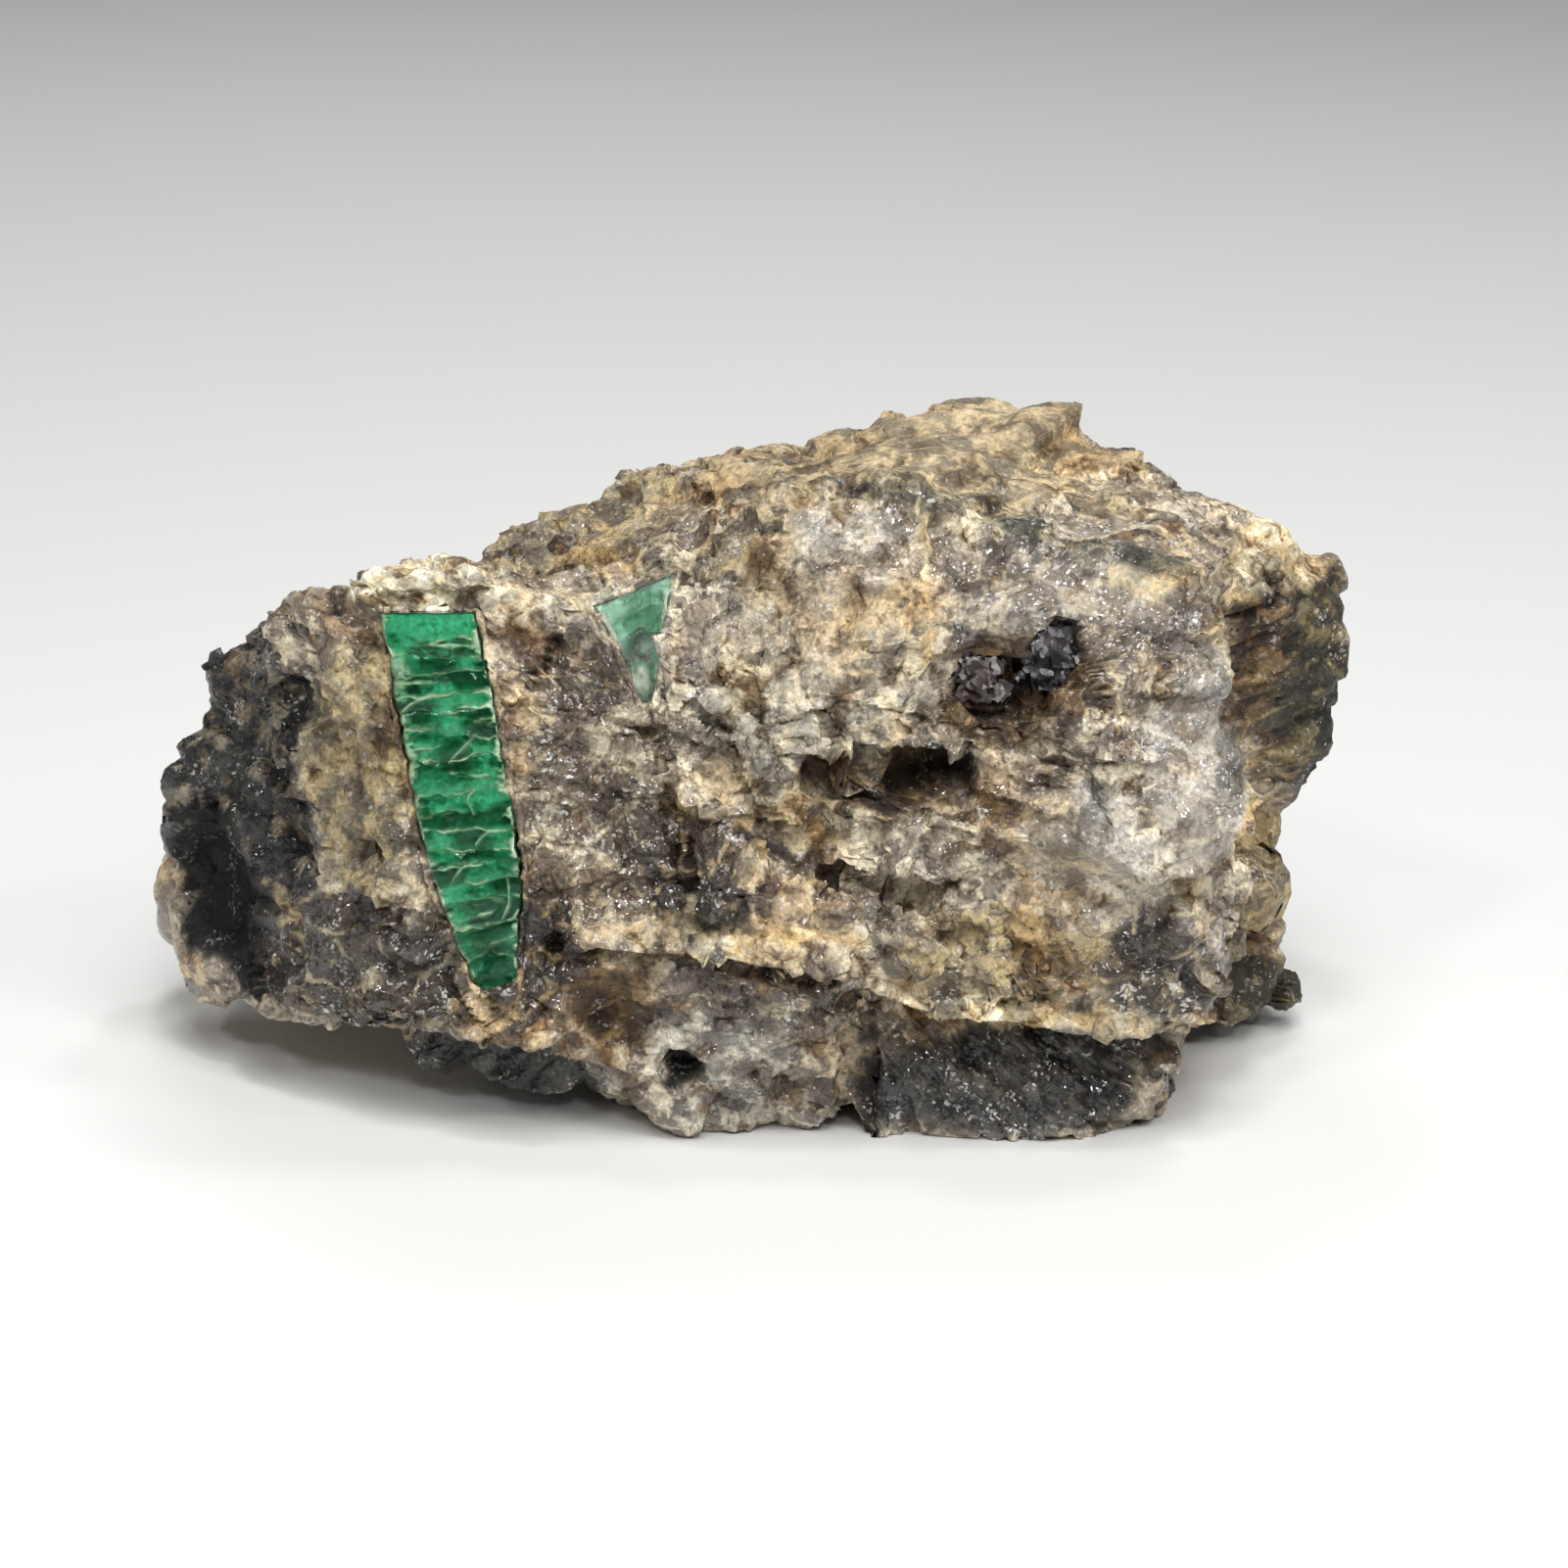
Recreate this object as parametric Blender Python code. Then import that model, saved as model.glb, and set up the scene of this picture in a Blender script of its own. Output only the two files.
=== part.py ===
"""Emerald in matrix: a loose hand specimen of quartz and mica rock with two emeralds.

The row is in metres, +Z up. The emeralds show on the -Y side, and the origin
lies on the flat facet that the stone rests on. The tables below are in
millimetres, read by eye as corners and hollows of the stone.

The stone is one solid. Seen from its heart, each direction meets its surface
once: the surface is the farthest of several straight-sided lumps, rounded a
little where their faces meet, then worked with hollows, ridges and broken faces.
"""
import itertools

import bmesh
import bpy
import numpy as np
from mathutils import Matrix, Vector

MM = 0.001
TINY = 0.001
FAR = 9999.0

# Stone
STONE_COLOUR = (0.42, 0.36, 0.27)
STONE_TRIANGLES = 8400
HEART = (1.0, 0.0, 18.0)
CORE = 8.0
EDGE_ROUNDING = 0.45
SKIN = 0.3
START_SPHERE_DIVISIONS = 7
START_SPHERE_TRIANGLES = 20 * 4 ** (START_SPHERE_DIVISIONS - 1)

# Pockets: the gap round a crystal, how far its pocket opens outward, and how much more a corner
# moves than the faces beside it
POCKET_GAP = 0.3
POCKET_FRONT = 6.0
CORNER_SHARE = 1.35
LAYER_STEP = 0.2

# Prisms run from foot to top. A section's first two corners are its front side; the taper gives
# its scale at each height, the breaks are where it has cracked across and slipped a little.
PRISMS = {
    "emerald_crystal_large": {
        "foot": (-16.4, -15.8, 10.4), "top": (-20.4, -11, 33.4), "half_width": 3.3,
        "section": [(-0.86, -0.62), (0.95, -0.62), (1, -0.1), (0.62, 0.75), (-0.62, 0.75), (-1, -0.2)],
        "taper": [(0, 0.28), (0.7, 0.46), (3.8, 0.68), (6.8, 0.9), (11, 0.97), (19, 1), (23.8, 0.94)],
        "breaks": [2.1, 4.3, 6, 7.1, 9.3, 10.5, 13, 15, 16.7, 18.1, 19.2, 20.5, 21.7],
        "slip": 0.1, "colour": (0.02, 0.34, 0.15), "roughness": 0.15},
    "emerald_crystal_small": {
        "foot": (-6.8, -12.7, 28.2), "top": (-7.6, -10.6, 35.3), "half_width": 2.8,
        "section": [(-1, -0.35), (0.95, -0.35), (0.7, 0.5), (-0.6, 0.45)],
        "taper": [(0, 0.14), (2.5, 0.4), (5, 0.68), (6.6, 0.85), (7.4, 1)],
        "breaks": [2.9, 4.6, 6.1],
        "slip": 0.05, "colour": (0.18, 0.42, 0.27), "roughness": 0.25},
}

# Mica books are plates stacked from foot to top, the top plate facing out of its hollow.
MICA_LAYERS = [0, 0.8, 1.5, 2, 2.6, 3.1, 3.6]
MICA_LAYER_SCALES = [0.9, 1, 0.94, 1, 0.86, 0.7]
MICA_SLIP = 0.1
MICA_COLOUR = (0.03, 0.028, 0.035)
MICA_ROUGHNESS = 0.25
MICA_BOOKS = {
    "dark_mica_large": {
        "foot": (18.6, -10.9, 30.9), "top": (18.8, -14.2, 32.2),
        "section": [(2.1, 0), (1.2, 2.4), (-0.9, 2.6), (-2.1, 0.3), (-1.1, -2.4), (1, -2.6)]},
    "dark_mica_small": {
        "foot": (14.1, -11.3, 29.8), "top": (13.8, -14.7, 30.9),
        "section": [(1.5, 0), (0.8, 1.5), (-0.7, 1.6), (-1.5, 0.1), (-0.8, -1.4), (0.7, -1.5)]},
}

# Lumps are straight-sided blocks, each given by the corners of its outside.
LUMPS = {
    "emerald block": [
        (-24.5, -12, 37), (-16.5, -11.5, 36.5), (-29.5, -8, 34.5), (-34, -3, 30), (-38, 2, 25.5),
        (-40, 1, 16), (-39.5, 2, 12.5), (-38.5, 0, 3.5), (-34, -7, 5.5), (-23.5, -16, 8),
        (-13, -18.5, 7), (-4.5, -19, 11), (-5, -13, 33.5), (-33, 12, 25), (-35, 11, 12),
        (-30, 14, 9), (-10, 13, 30), (-12, 12, 5)],
    "left spur": [
        (-41, 8, 7), (-40, 8, 10.5), (-40, 8, 4), (-39.5, 3, 6), (-38, 2, 4.5), (-39.5, 4, 12),
        (-36, 14, 6), (-34, 14, 17), (-28, 17, 14), (-28, 14, 6)],
    "main body": [
        (5.5, -9, 41.5), (18, -11, 38.5), (28, -12, 36), (28.5, -15, 30), (29.5, -16, 8),
        (20.5, -19, 8), (10.5, -19.5, 10), (5, -19.5, 12.5), (-4.5, -19, 13), (-7, -13, 33.5),
        (-3, -7, 39.5), (6, 19, 37), (24, 16, 34), (33, 10, 28), (31, 12, 5), (-8, 15, 4)],
    "crest": [
        (8.5, 12, 41), (26, 12, 39), (34, 8, 35.5), (-3, 8, 40), (-5.5, 4, 40), (5.5, -9, 42),
        (28, -12, 36.5), (-3, -7, 39.5), (8, 22, 34), (24, 20, 31), (-6, 20, 33), (5, 20, 8),
        (30, 16, 10)],
    "crest cap": [
        (8.5, 13, 42.5), (14, 14, 42.5), (19.5, 14, 42), (22, 12, 41), (8.5, 6, 41.5),
        (18.5, 4, 41.5), (10, 20, 38), (18, 19, 37)],
    "left shoulder": [
        (-19.5, 4, 33), (-18, 5, 35), (-15.5, 6, 36.5), (-11.5, 8, 37), (-8.5, 8, 39), (-5.5, 8, 39.5),
        (-16, -8, 32), (-5, -8, 37), (-18, 14, 27), (-16, 14, 10), (-6, 19, 33), (-4, 19, 8)],
    "rear right lobe": [
        (33.5, 7, 36), (36.5, 7, 34.5), (39, 7, 32.5), (39.5, 6, 29.5), (40, 5, 27), (40, 5, 23.5),
        (39, 5, 18), (37, 6, 14), (29.5, -8, 34.5), (36, 15, 29), (36, 14, 20), (29, 19, 31),
        (30, 16, 12)],
    "rear right foot": [
        (35.5, 5, 9), (37, 4, 5.5), (37.5, 4, 2), (35, 2, 1), (32.5, -1, 1.5), (34, 13, 4),
        (33, 13, 12), (28, 16, 2), (26, 10, 1)],
    "quartz lens": [
        (28, -13, 33.5), (29, -14, 30.5), (30.7, -14.5, 25), (30.3, -15, 22), (28.5, -17, 18.5),
        (25, -19.5, 18.5), (19.5, -19.5, 21), (20, -18.5, 26), (24, -15.5, 33.5)],
    "left foot": [
        (-13.5, -16.5, 5.5), (-11, -16.5, 4), (-8, -16.5, 3), (-4.5, -16.5, 2), (0.5, -16.5, 1),
        (5.5, -16.5, 0.5), (5.5, -19, 9), (4.5, -19.5, 11.5), (-13, -19.5, 14.5), (-13, 9, -1),
        (-8, 12, -1), (6, 14, -1), (6, 14, 8), (-11, -8, -1), (0, -15, -1)],
    "right foot": [
        (7, -16.5, 6.5), (7, -16, 0.5), (15.5, -16.5, 0.5), (21, -17, 0.5), (27.5, -14.5, 0.5),
        (28.5, -14.5, 5), (29, 4, -1), (30, 8, 4), (26, 13, -1), (6, 15, -1), (6, 15, 8),
        (30, 10, 8), (8, -14.5, -1), (27, -13, -1)],
    "under shelf": [
        (-23, -10, 5), (-22, -10, 2.5), (-17, -12, 1.5), (-12.5, -13.5, 1), (-12, -14, 6),
        (-26, 4, 4), (-20, 8, 3), (-12, 8, 0)],
}

# Each form is its middle, its half sizes along X, Y and Z, and its height: below zero for a hollow.
FORMS = {
    "main cavity": ((9, -17, 24.4), (5.2, 4, 1.7), -3.0),
    "main cavity end": ((12.5, -17, 24.2), (2.0, 4, 2.0), -2.2),
    "mica hollow": ((15.5, -14.5, 29.8), (2.8, 4, 1.6), -1.6),
    "deep recess": ((32.5, -4, 29), (2.0, 6, 5.0), -4.5),
    "shell-shaped break": ((-9.3, -16.5, 9), (2.5, 4, 2.2), -1.5),
    "black vug": ((-36, -2, 12), (2.0, 5, 3.6), -2.2),
    "upper left vug": ((-33.5, -4, 24), (2.4, 5, 2.4), -1.1),
    "lace pit": ((-31, -9, 17), (2.0, 5, 2.0), -1.0),
    "foot vug": ((-4.7, -17, 5.8), (1.4, 3, 1.3), -1.1),
    "brown pit": ((-13, -13.5, 32.2), (3.0, 4, 1.5), -0.9),
    "smoky pit": ((-9, -17, 18), (2.2, 4, 2.4), -0.9),
    "ochre hollow": ((6, -18.5, 19.5), (3.0, 4, 1.6), -0.8),
    "white lens": ((27.5, -17, 24), (3.6, 4, 4.5), 0.8),
    "white lump": ((21, -18, 21), (3.8, 4, 2.8), 1.0),
    "lilac swelling": ((20, -13.5, 34.5), (5, 4, 3), 0.7),
    "brow": ((8, -11, 37.5), (5, 4, 3), 0.8),
    "lower swelling": ((-1, -18.5, 17.5), (4.5, 4, 2.4), 0.7),
    "smoky blocks": ((26, -17.5, 12.5), (3.4, 4, 3.2), 0.8),
    "lace swelling": ((-30, -9, 23), (3, 5, 3), 0.8),
    "back hollow": ((-12, 17, 24), (6, 5, 5), -2.2),
    "back step": ((14, 20, 16), (8, 5, 3), -2.0),
    "back left pit": ((-28, 15, 17), (4, 5, 3.5), -1.4),
    "right side pit": ((36, 6, 16), (3, 6, 2.5), -1.4),
}

# Each ridge is its points, its half width and its height: below zero for a crack or a groove.
RIDGES = {
    "ochre ledge": ([(-13, -17, 14.5), (-4.5, -19, 14.3), (5.5, -19.5, 13.2)], 0.9, 0.8),
    "slit": ([(5.5, -18, 18.3), (12, -17.5, 16.7)], 0.7, -1.6),
    "long crack": ([(-8.2, -12.5, 32), (-5, -16, 22.3), (-4, -18, 16.4)], 0.7, -0.9),
    "main ledge lip": ([(6, -17, 9.5), (10.5, -19, 9.7), (21, -18.5, 8.8), (28, -16, 8.3)], 1.1, 0.9),
    "upper rim": ([(-16, -12, 35.5), (-7, -12, 34.5), (-2, -10, 38)], 1.0, 0.6),
    "rib one": ([(-16, -14, 29.8), (-9, -13.5, 29.8)], 0.8, -0.6),
    "rib two": ([(-15.5, -15, 26), (-8, -14.5, 26)], 0.8, -0.6),
    "rib three": ([(-15, -15.5, 21.5), (-7, -16, 21.5)], 0.8, -0.6),
    "lens rim": ([(28.5, -13, 33), (31, -14, 25), (29, -16.5, 18.5)], 1.2, 0.5),
    "front crest": ([(5.5, -9.5, 41.5), (11.5, -10, 40.8), (18, -11, 38.7), (28, -12, 36.3)], 1.4, 0.7),
    "top fold one": ([(-2, 2, 41), (12, -2, 41), (28, -6, 38)], 1.2, 0.5),
    "top fold two": ([(2, 8, 42), (16, 5, 42), (31, 1, 38)], 1.2, -0.6),
    "layer one": ([(10, -18.5, 13), (20, -18.5, 11.5), (28, -16.5, 10.5)], 0.8, 0.6),
    "layer two": ([(12, -18, 15.5), (22, -18.5, 14)], 0.8, 0.5),
}

# Broken faces and bumps: the pitch of the pattern and its height.
BROKEN_FACES = [(9.0, 1.2), (4.6, 0.8)]
BUMPS = [(14.0, 0.8), (5.0, 0.5), (2.6, 0.3)]

CUBE = [np.array(corner) for corner in itertools.product((0, 1), repeat=3)]
NEIGHBOURS = [np.array(step) for step in itertools.product((-1, 0, 1), repeat=3)]
SIX_WAYS = [sign * np.eye(3)[axis] for axis in range(3) for sign in (1, -1)]


def hashed(cells, salt):
    """Numbers from 0 to 1 that look random, one for each lattice cell, always the same."""
    wave = np.sin(cells @ np.array([127.1, 311.7, 74.7]) + 17.3 * salt) * 4375.85
    return wave - np.floor(wave)


def bumps(points, pitch, salt):
    """Smooth noise from -1 to 1: random heights on a cubic lattice, blended by smooth steps."""
    scaled = points / pitch
    low = np.floor(scaled)
    part = scaled - low
    part = part * part * (3 - 2 * part)
    total = np.zeros(len(points))
    for corner in CUBE:
        total += np.where(corner, part, 1 - part).prod(axis=1) * hashed(low + corner, salt)
    return 2 * total - 1


def broken_faces(points, pitch, salt):
    """Flat tilted faces: each point lies on the plane of its nearest seed, one seed to a cell."""
    scaled = points / pitch
    cell = np.floor(scaled)
    nearest = np.full(len(points), FAR)
    height = np.zeros(len(points))
    for step in NEIGHBOURS:
        home = cell + step
        seed = home + np.stack([hashed(home, salt + axis) for axis in (1, 2, 3)], axis=1)
        tilt = np.stack([hashed(home, salt + axis) for axis in (4, 5, 6)], axis=1) - 0.5
        away = scaled - seed
        distance = (away ** 2).sum(axis=1)
        plane = hashed(home, salt + 7) - 0.5 + (away * tilt).sum(axis=1)
        closer = distance < nearest
        height = np.where(closer, plane, height)
        nearest = np.where(closer, distance, nearest)
    return height


def distance_to_path(points, path):
    """Distance from each point to the nearest of a path's straight runs."""
    nearest = np.full(len(points), FAR)
    for start, end in zip(path[:-1], path[1:]):
        start = np.array(start, float)
        run = np.array(end, float) - start
        along = np.clip((points - start) @ run / (run @ run), 0, 1)
        gap = points - start - along[:, None] * run
        nearest = np.minimum(nearest, np.sqrt((gap ** 2).sum(axis=1)))
    return nearest


def hull_planes(corners):
    """Normals and distances from the heart of the planes round a lump and the stone's core."""
    core = [np.array(HEART) + CORE * way for way in SIX_WAYS]
    hull = bmesh.new()
    for corner in list(corners) + core:
        hull.verts.new(corner)
    bmesh.ops.convex_hull(hull, input=hull.verts)
    hull.normal_update()
    planes = set()
    for face in hull.faces:
        reach = face.normal.dot(face.calc_center_median() - Vector(HEART))
        side = 1 if reach > 0 else -1
        planes.add(tuple(round(side * value, 3) for value in (*face.normal, reach)))
    hull.free()
    planes = np.array(sorted(planes))
    return planes[:, :3], planes[:, 3]


def lump_reach(directions):
    """How far the farthest lump reaches from the heart, with its edges rounded a little."""
    farthest = np.zeros(len(directions))
    for corners in LUMPS.values():
        normals, distances = hull_planes(corners)
        rate = directions @ normals.T
        reach = np.where(rate > TINY, distances / np.maximum(rate, TINY), FAR)
        nearest = reach.min(axis=1)
        crowding = np.exp((nearest[:, None] - reach) / EDGE_ROUNDING).sum(axis=1)
        farthest = np.maximum(farthest, nearest - EDGE_ROUNDING * np.log(crowding))
    return farthest


def relief(points):
    """Height in mm added to the lumps: bumps and broken faces, then forms and ridges."""
    height = np.full(len(points), SKIN)
    for number, (pitch, amount) in enumerate(BUMPS):
        height += amount * bumps(points, pitch, number)
    for number, (pitch, amount) in enumerate(BROKEN_FACES):
        height += amount * broken_faces(points, pitch, 20 + 10 * number)
    for middle, half_sizes, amount in FORMS.values():
        away = (points - np.array(middle)) / np.array(half_sizes)
        height += amount * np.exp(-(away ** 2).sum(axis=1) ** 2)
    for path, half_width, amount in RIDGES.values():
        height += amount * np.exp(-(distance_to_path(points, path) / half_width) ** 2)
    return height


def stone_points(directions):
    """The stone's surface in mm along unit directions from the heart, cut flat at the floor."""
    reach = lump_reach(directions)
    reach = reach + relief(np.array(HEART) + reach[:, None] * directions)
    to_floor = HEART[2] / np.maximum(-directions[:, 2], TINY)
    reach = np.minimum(reach, to_floor)
    return np.array(HEART) + reach[:, None] * directions


def start_clean():
    """Remove what the scene holds, and make the collections for the stone and its cutters."""
    for thing in list(bpy.data.objects):
        bpy.data.objects.remove(thing, do_unlink=True)
    folders = []
    for name in ("Emerald in matrix", "Cutters"):
        folder = bpy.data.collections.new(name)
        bpy.context.scene.collection.children.link(folder)
        folders.append(folder)
    return folders


def material(name, colour, roughness):
    """A plain Principled material of one colour."""
    made = bpy.data.materials.new(name)
    made.use_nodes = True
    shader = made.node_tree.nodes["Principled BSDF"]
    shader.inputs["Base Color"].default_value = (*colour, 1)
    shader.inputs["Roughness"].default_value = roughness
    shader.inputs["Metallic"].default_value = 0
    return made


def add_object(name, mesh, folder, surface=None):
    """A mesh put in a collection as an object, with its material if it has one."""
    thing = bpy.data.objects.new(name, mesh)
    folder.objects.link(thing)
    if surface:
        mesh.materials.append(surface)
    return thing


def make_stone(folder):
    """A fine sphere pushed out to the stone's surface, then thinned to broad faces."""
    bpy.ops.mesh.primitive_ico_sphere_add(subdivisions=START_SPHERE_DIVISIONS, radius=1)
    stone = bpy.context.object
    stone.name = stone.data.name = "matrix"
    for home in list(stone.users_collection):
        home.objects.unlink(stone)
    folder.objects.link(stone)
    stone.data.materials.append(material("quartz and mica rock", STONE_COLOUR, 0.7))
    directions = np.empty(len(stone.data.vertices) * 3)
    stone.data.vertices.foreach_get("co", directions)
    directions = directions.reshape(-1, 3)
    directions /= np.linalg.norm(directions, axis=1, keepdims=True)
    stone.data.vertices.foreach_set("co", (stone_points(directions) * MM).ravel())
    stone.data.update()
    thinned = stone.modifiers.new("broad faces", "DECIMATE")
    thinned.ratio = STONE_TRIANGLES / START_SPHERE_TRIANGLES
    return stone


def ring(section, scale, height, shift=(0, 0), gap=0, forward=0):
    """One ring of a crystal in metres; a gap widens it, and forward opens it past its front side."""
    corners = np.array(section) * scale + shift
    out = corners - corners.mean(axis=0)
    corners = corners + CORNER_SHARE * gap * out / np.linalg.norm(out, axis=1, keepdims=True)
    if forward:
        corners = np.vstack([corners[:1], corners[:2] - (0, forward), corners[1:]])
    return [(x * MM, y * MM, height * MM) for x, y in corners]


def layered(section, bounds, scale_at, slip):
    """Rings of a crystal broken into layers, each slipped sideways a little against the next."""
    rings = []
    for number, (low, high) in enumerate(zip(bounds[:-1], bounds[1:])):
        cells = np.array([[number, 3, 5], [number, 8, 2]])
        shift = slip * (2 * hashed(cells, len(bounds)) - 1)
        low += LAYER_STEP / 2 if number else 0
        high -= LAYER_STEP / 2 if number < len(bounds) - 2 else 0
        for height in (low, high):
            rings.append(ring(section, scale_at(number, height), height, shift))
    return rings


def loft(name, rings):
    """A closed body through rings of equal count, capped at both ends, its faces facing out."""
    shell = bmesh.new()
    rows = [[shell.verts.new(point) for point in points] for points in rings]
    for low, high in zip(rows[:-1], rows[1:]):
        for index, corner in enumerate(low):
            following = (index + 1) % len(low)
            shell.faces.new((corner, low[following], high[following], high[index]))
    shell.faces.new(rows[0])
    shell.faces.new(rows[-1])
    bmesh.ops.recalc_face_normals(shell, faces=shell.faces)
    bmesh.ops.triangulate(shell, faces=shell.faces)
    mesh = bpy.data.meshes.new(name)
    shell.to_mesh(mesh)
    shell.free()
    return mesh


def placed(foot, top):
    """A crystal's own frame: origin at its foot, +Z to its top, -Y to the side that shows."""
    up = (Vector(top) - Vector(foot)).normalized()
    across = Vector((0, 1, 0)).cross(up).normalized()
    turn = Matrix((across, up.cross(across), up)).transposed().to_4x4()
    return Matrix.Translation(Vector(foot) * MM) @ turn


def seat(name, crystal_rings, pocket_rings, table, surface, folders, stone):
    """A crystal in its own pocket: its lofted body, and a larger cutter that opens the stone."""
    crystal = add_object(name, loft(name, crystal_rings), folders[0], surface)
    pocket = add_object(name + "_pocket", loft(name + "_pocket", pocket_rings), folders[1])
    crystal.matrix_world = pocket.matrix_world = placed(table["foot"], table["top"])
    pocket.hide_render = True
    pocket.display_type = "WIRE"
    cut = stone.modifiers.new(name + " pocket", "BOOLEAN")
    cut.operation = "DIFFERENCE"
    cut.object = pocket
    cut.solver = "EXACT"


def make_prism(name, table, folders, stone):
    """An emerald: a prism tapering along its own axis, cut across by its breaks."""
    section = np.array(table["section"]) * table["half_width"]
    heights, scales = zip(*table["taper"])
    bounds = [0, *table["breaks"], heights[-1]]
    rings = layered(section, bounds, lambda layer, height: np.interp(height, heights, scales), table["slip"])
    gap = POCKET_GAP + table["slip"]
    stations = [(-gap, scales[0]), *table["taper"][1:-1], (heights[-1] + gap, scales[-1])]
    pocket = [ring(section, scale, height, gap=gap, forward=POCKET_FRONT) for height, scale in stations]
    seat(name, rings, pocket, table, material(name, table["colour"], table["roughness"]), folders, stone)


def make_mica_book(name, table, folders, stone):
    """A book of six-sided mica plates of unlike sizes."""
    rings = layered(table["section"], MICA_LAYERS, lambda layer, height: MICA_LAYER_SCALES[layer], MICA_SLIP)
    gap = POCKET_GAP + MICA_SLIP
    pocket = [ring(table["section"], 1, height, gap=gap) for height in (-gap, POCKET_FRONT)]
    seat(name, rings, pocket, table, material(name, MICA_COLOUR, MICA_ROUGHNESS), folders, stone)


def main():
    folders = start_clean()
    stone = make_stone(folders[0])
    for name, table in PRISMS.items():
        make_prism(name, table, folders, stone)
    for name, table in MICA_BOOKS.items():
        make_mica_book(name, table, folders, stone)


main()
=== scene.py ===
"""Emerald in matrix: the looks of the hand specimen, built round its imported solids.

Everything is in the frame of the solids: metres, +Z up, the emeralds on the -Y side. Shapes are
worked out in millimetres, and the lamps and the camera are in metres. The stone is one surface
seen from its heart: the farthest of several straight-sided lumps, worked with hollows, ridges,
broken faces and grains, and painted by mineral. Loose-looking grains are half sunk in it. Each
crystal lies in a pocket pressed into it.
"""

import itertools

import bmesh
import bpy
import numpy as np
from mathutils import Matrix, Vector

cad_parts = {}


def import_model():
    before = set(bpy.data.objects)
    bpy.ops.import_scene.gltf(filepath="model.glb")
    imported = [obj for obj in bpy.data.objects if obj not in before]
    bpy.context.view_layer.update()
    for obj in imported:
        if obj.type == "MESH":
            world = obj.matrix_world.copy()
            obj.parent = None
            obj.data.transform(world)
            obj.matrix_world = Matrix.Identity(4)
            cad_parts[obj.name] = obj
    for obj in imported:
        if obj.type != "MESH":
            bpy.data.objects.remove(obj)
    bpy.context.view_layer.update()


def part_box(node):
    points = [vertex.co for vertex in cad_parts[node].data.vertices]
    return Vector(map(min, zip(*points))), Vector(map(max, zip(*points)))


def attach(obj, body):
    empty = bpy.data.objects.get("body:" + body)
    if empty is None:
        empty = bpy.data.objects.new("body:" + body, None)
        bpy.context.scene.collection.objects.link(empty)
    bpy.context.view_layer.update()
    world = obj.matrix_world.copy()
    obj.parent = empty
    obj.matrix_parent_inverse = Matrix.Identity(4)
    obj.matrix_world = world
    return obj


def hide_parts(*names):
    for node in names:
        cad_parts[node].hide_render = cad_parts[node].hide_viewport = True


MM = 0.001
TINY = 0.001
FAR = 9999.0

# Stone: the same lumps, forms and ridges as the solid
HEART = (1.0, 0.0, 18.0)
CORE = 8.0
EDGE_ROUNDING = 0.45
SKIN = 0.3
BUMPS = [(14.0, 0.8), (5.0, 0.5), (2.6, 0.3)]
BROKEN_FACES = [(9.0, 1.2), (4.6, 0.8)]

# Finer relief of the stone only: pitch, height and steepness of each pattern of grains and how far
# its grains bulge, then the direction across the rock's layers, and the pitch and height of its ledges
FINE_FACES = [(4.4, 0.8, 1.6, 0.5), (2.2, 0.24, 1.6, 0.45), (1.2, 0.08, 1.4, 0.12)]
LAYER_WAY = np.array((0.16, 0.2, 1.0))
LEDGES = [(4.4, 0.7), (1.9, 0.2)]
FINE_SINK = 0.3
SHARP_EDGE = 0.75
GRAIN_FLATTENING = 0.45

# Pockets: how near a point has to be to snap to a crystal's outline, the gap that is left, how far
# the rock laps over a mica book, and the depth to which a crystal is looked for
SNAP = 0.2
RIM_GAP = 0.03
BOOK_LAP = 0.35
CRYSTAL_DEPTH = 8

# The stone's grid: cells along X, Y and Z, its half sizes, and how far it is drawn to the front
GRID_CELLS = (222, 68, 120)
GRID_HALF_SIZES = (41.0, 22.0, 21.5)
GRID_FRONT = np.array((0.0, -1.0, 0.25))
GRID_PULL = 0.3

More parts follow.
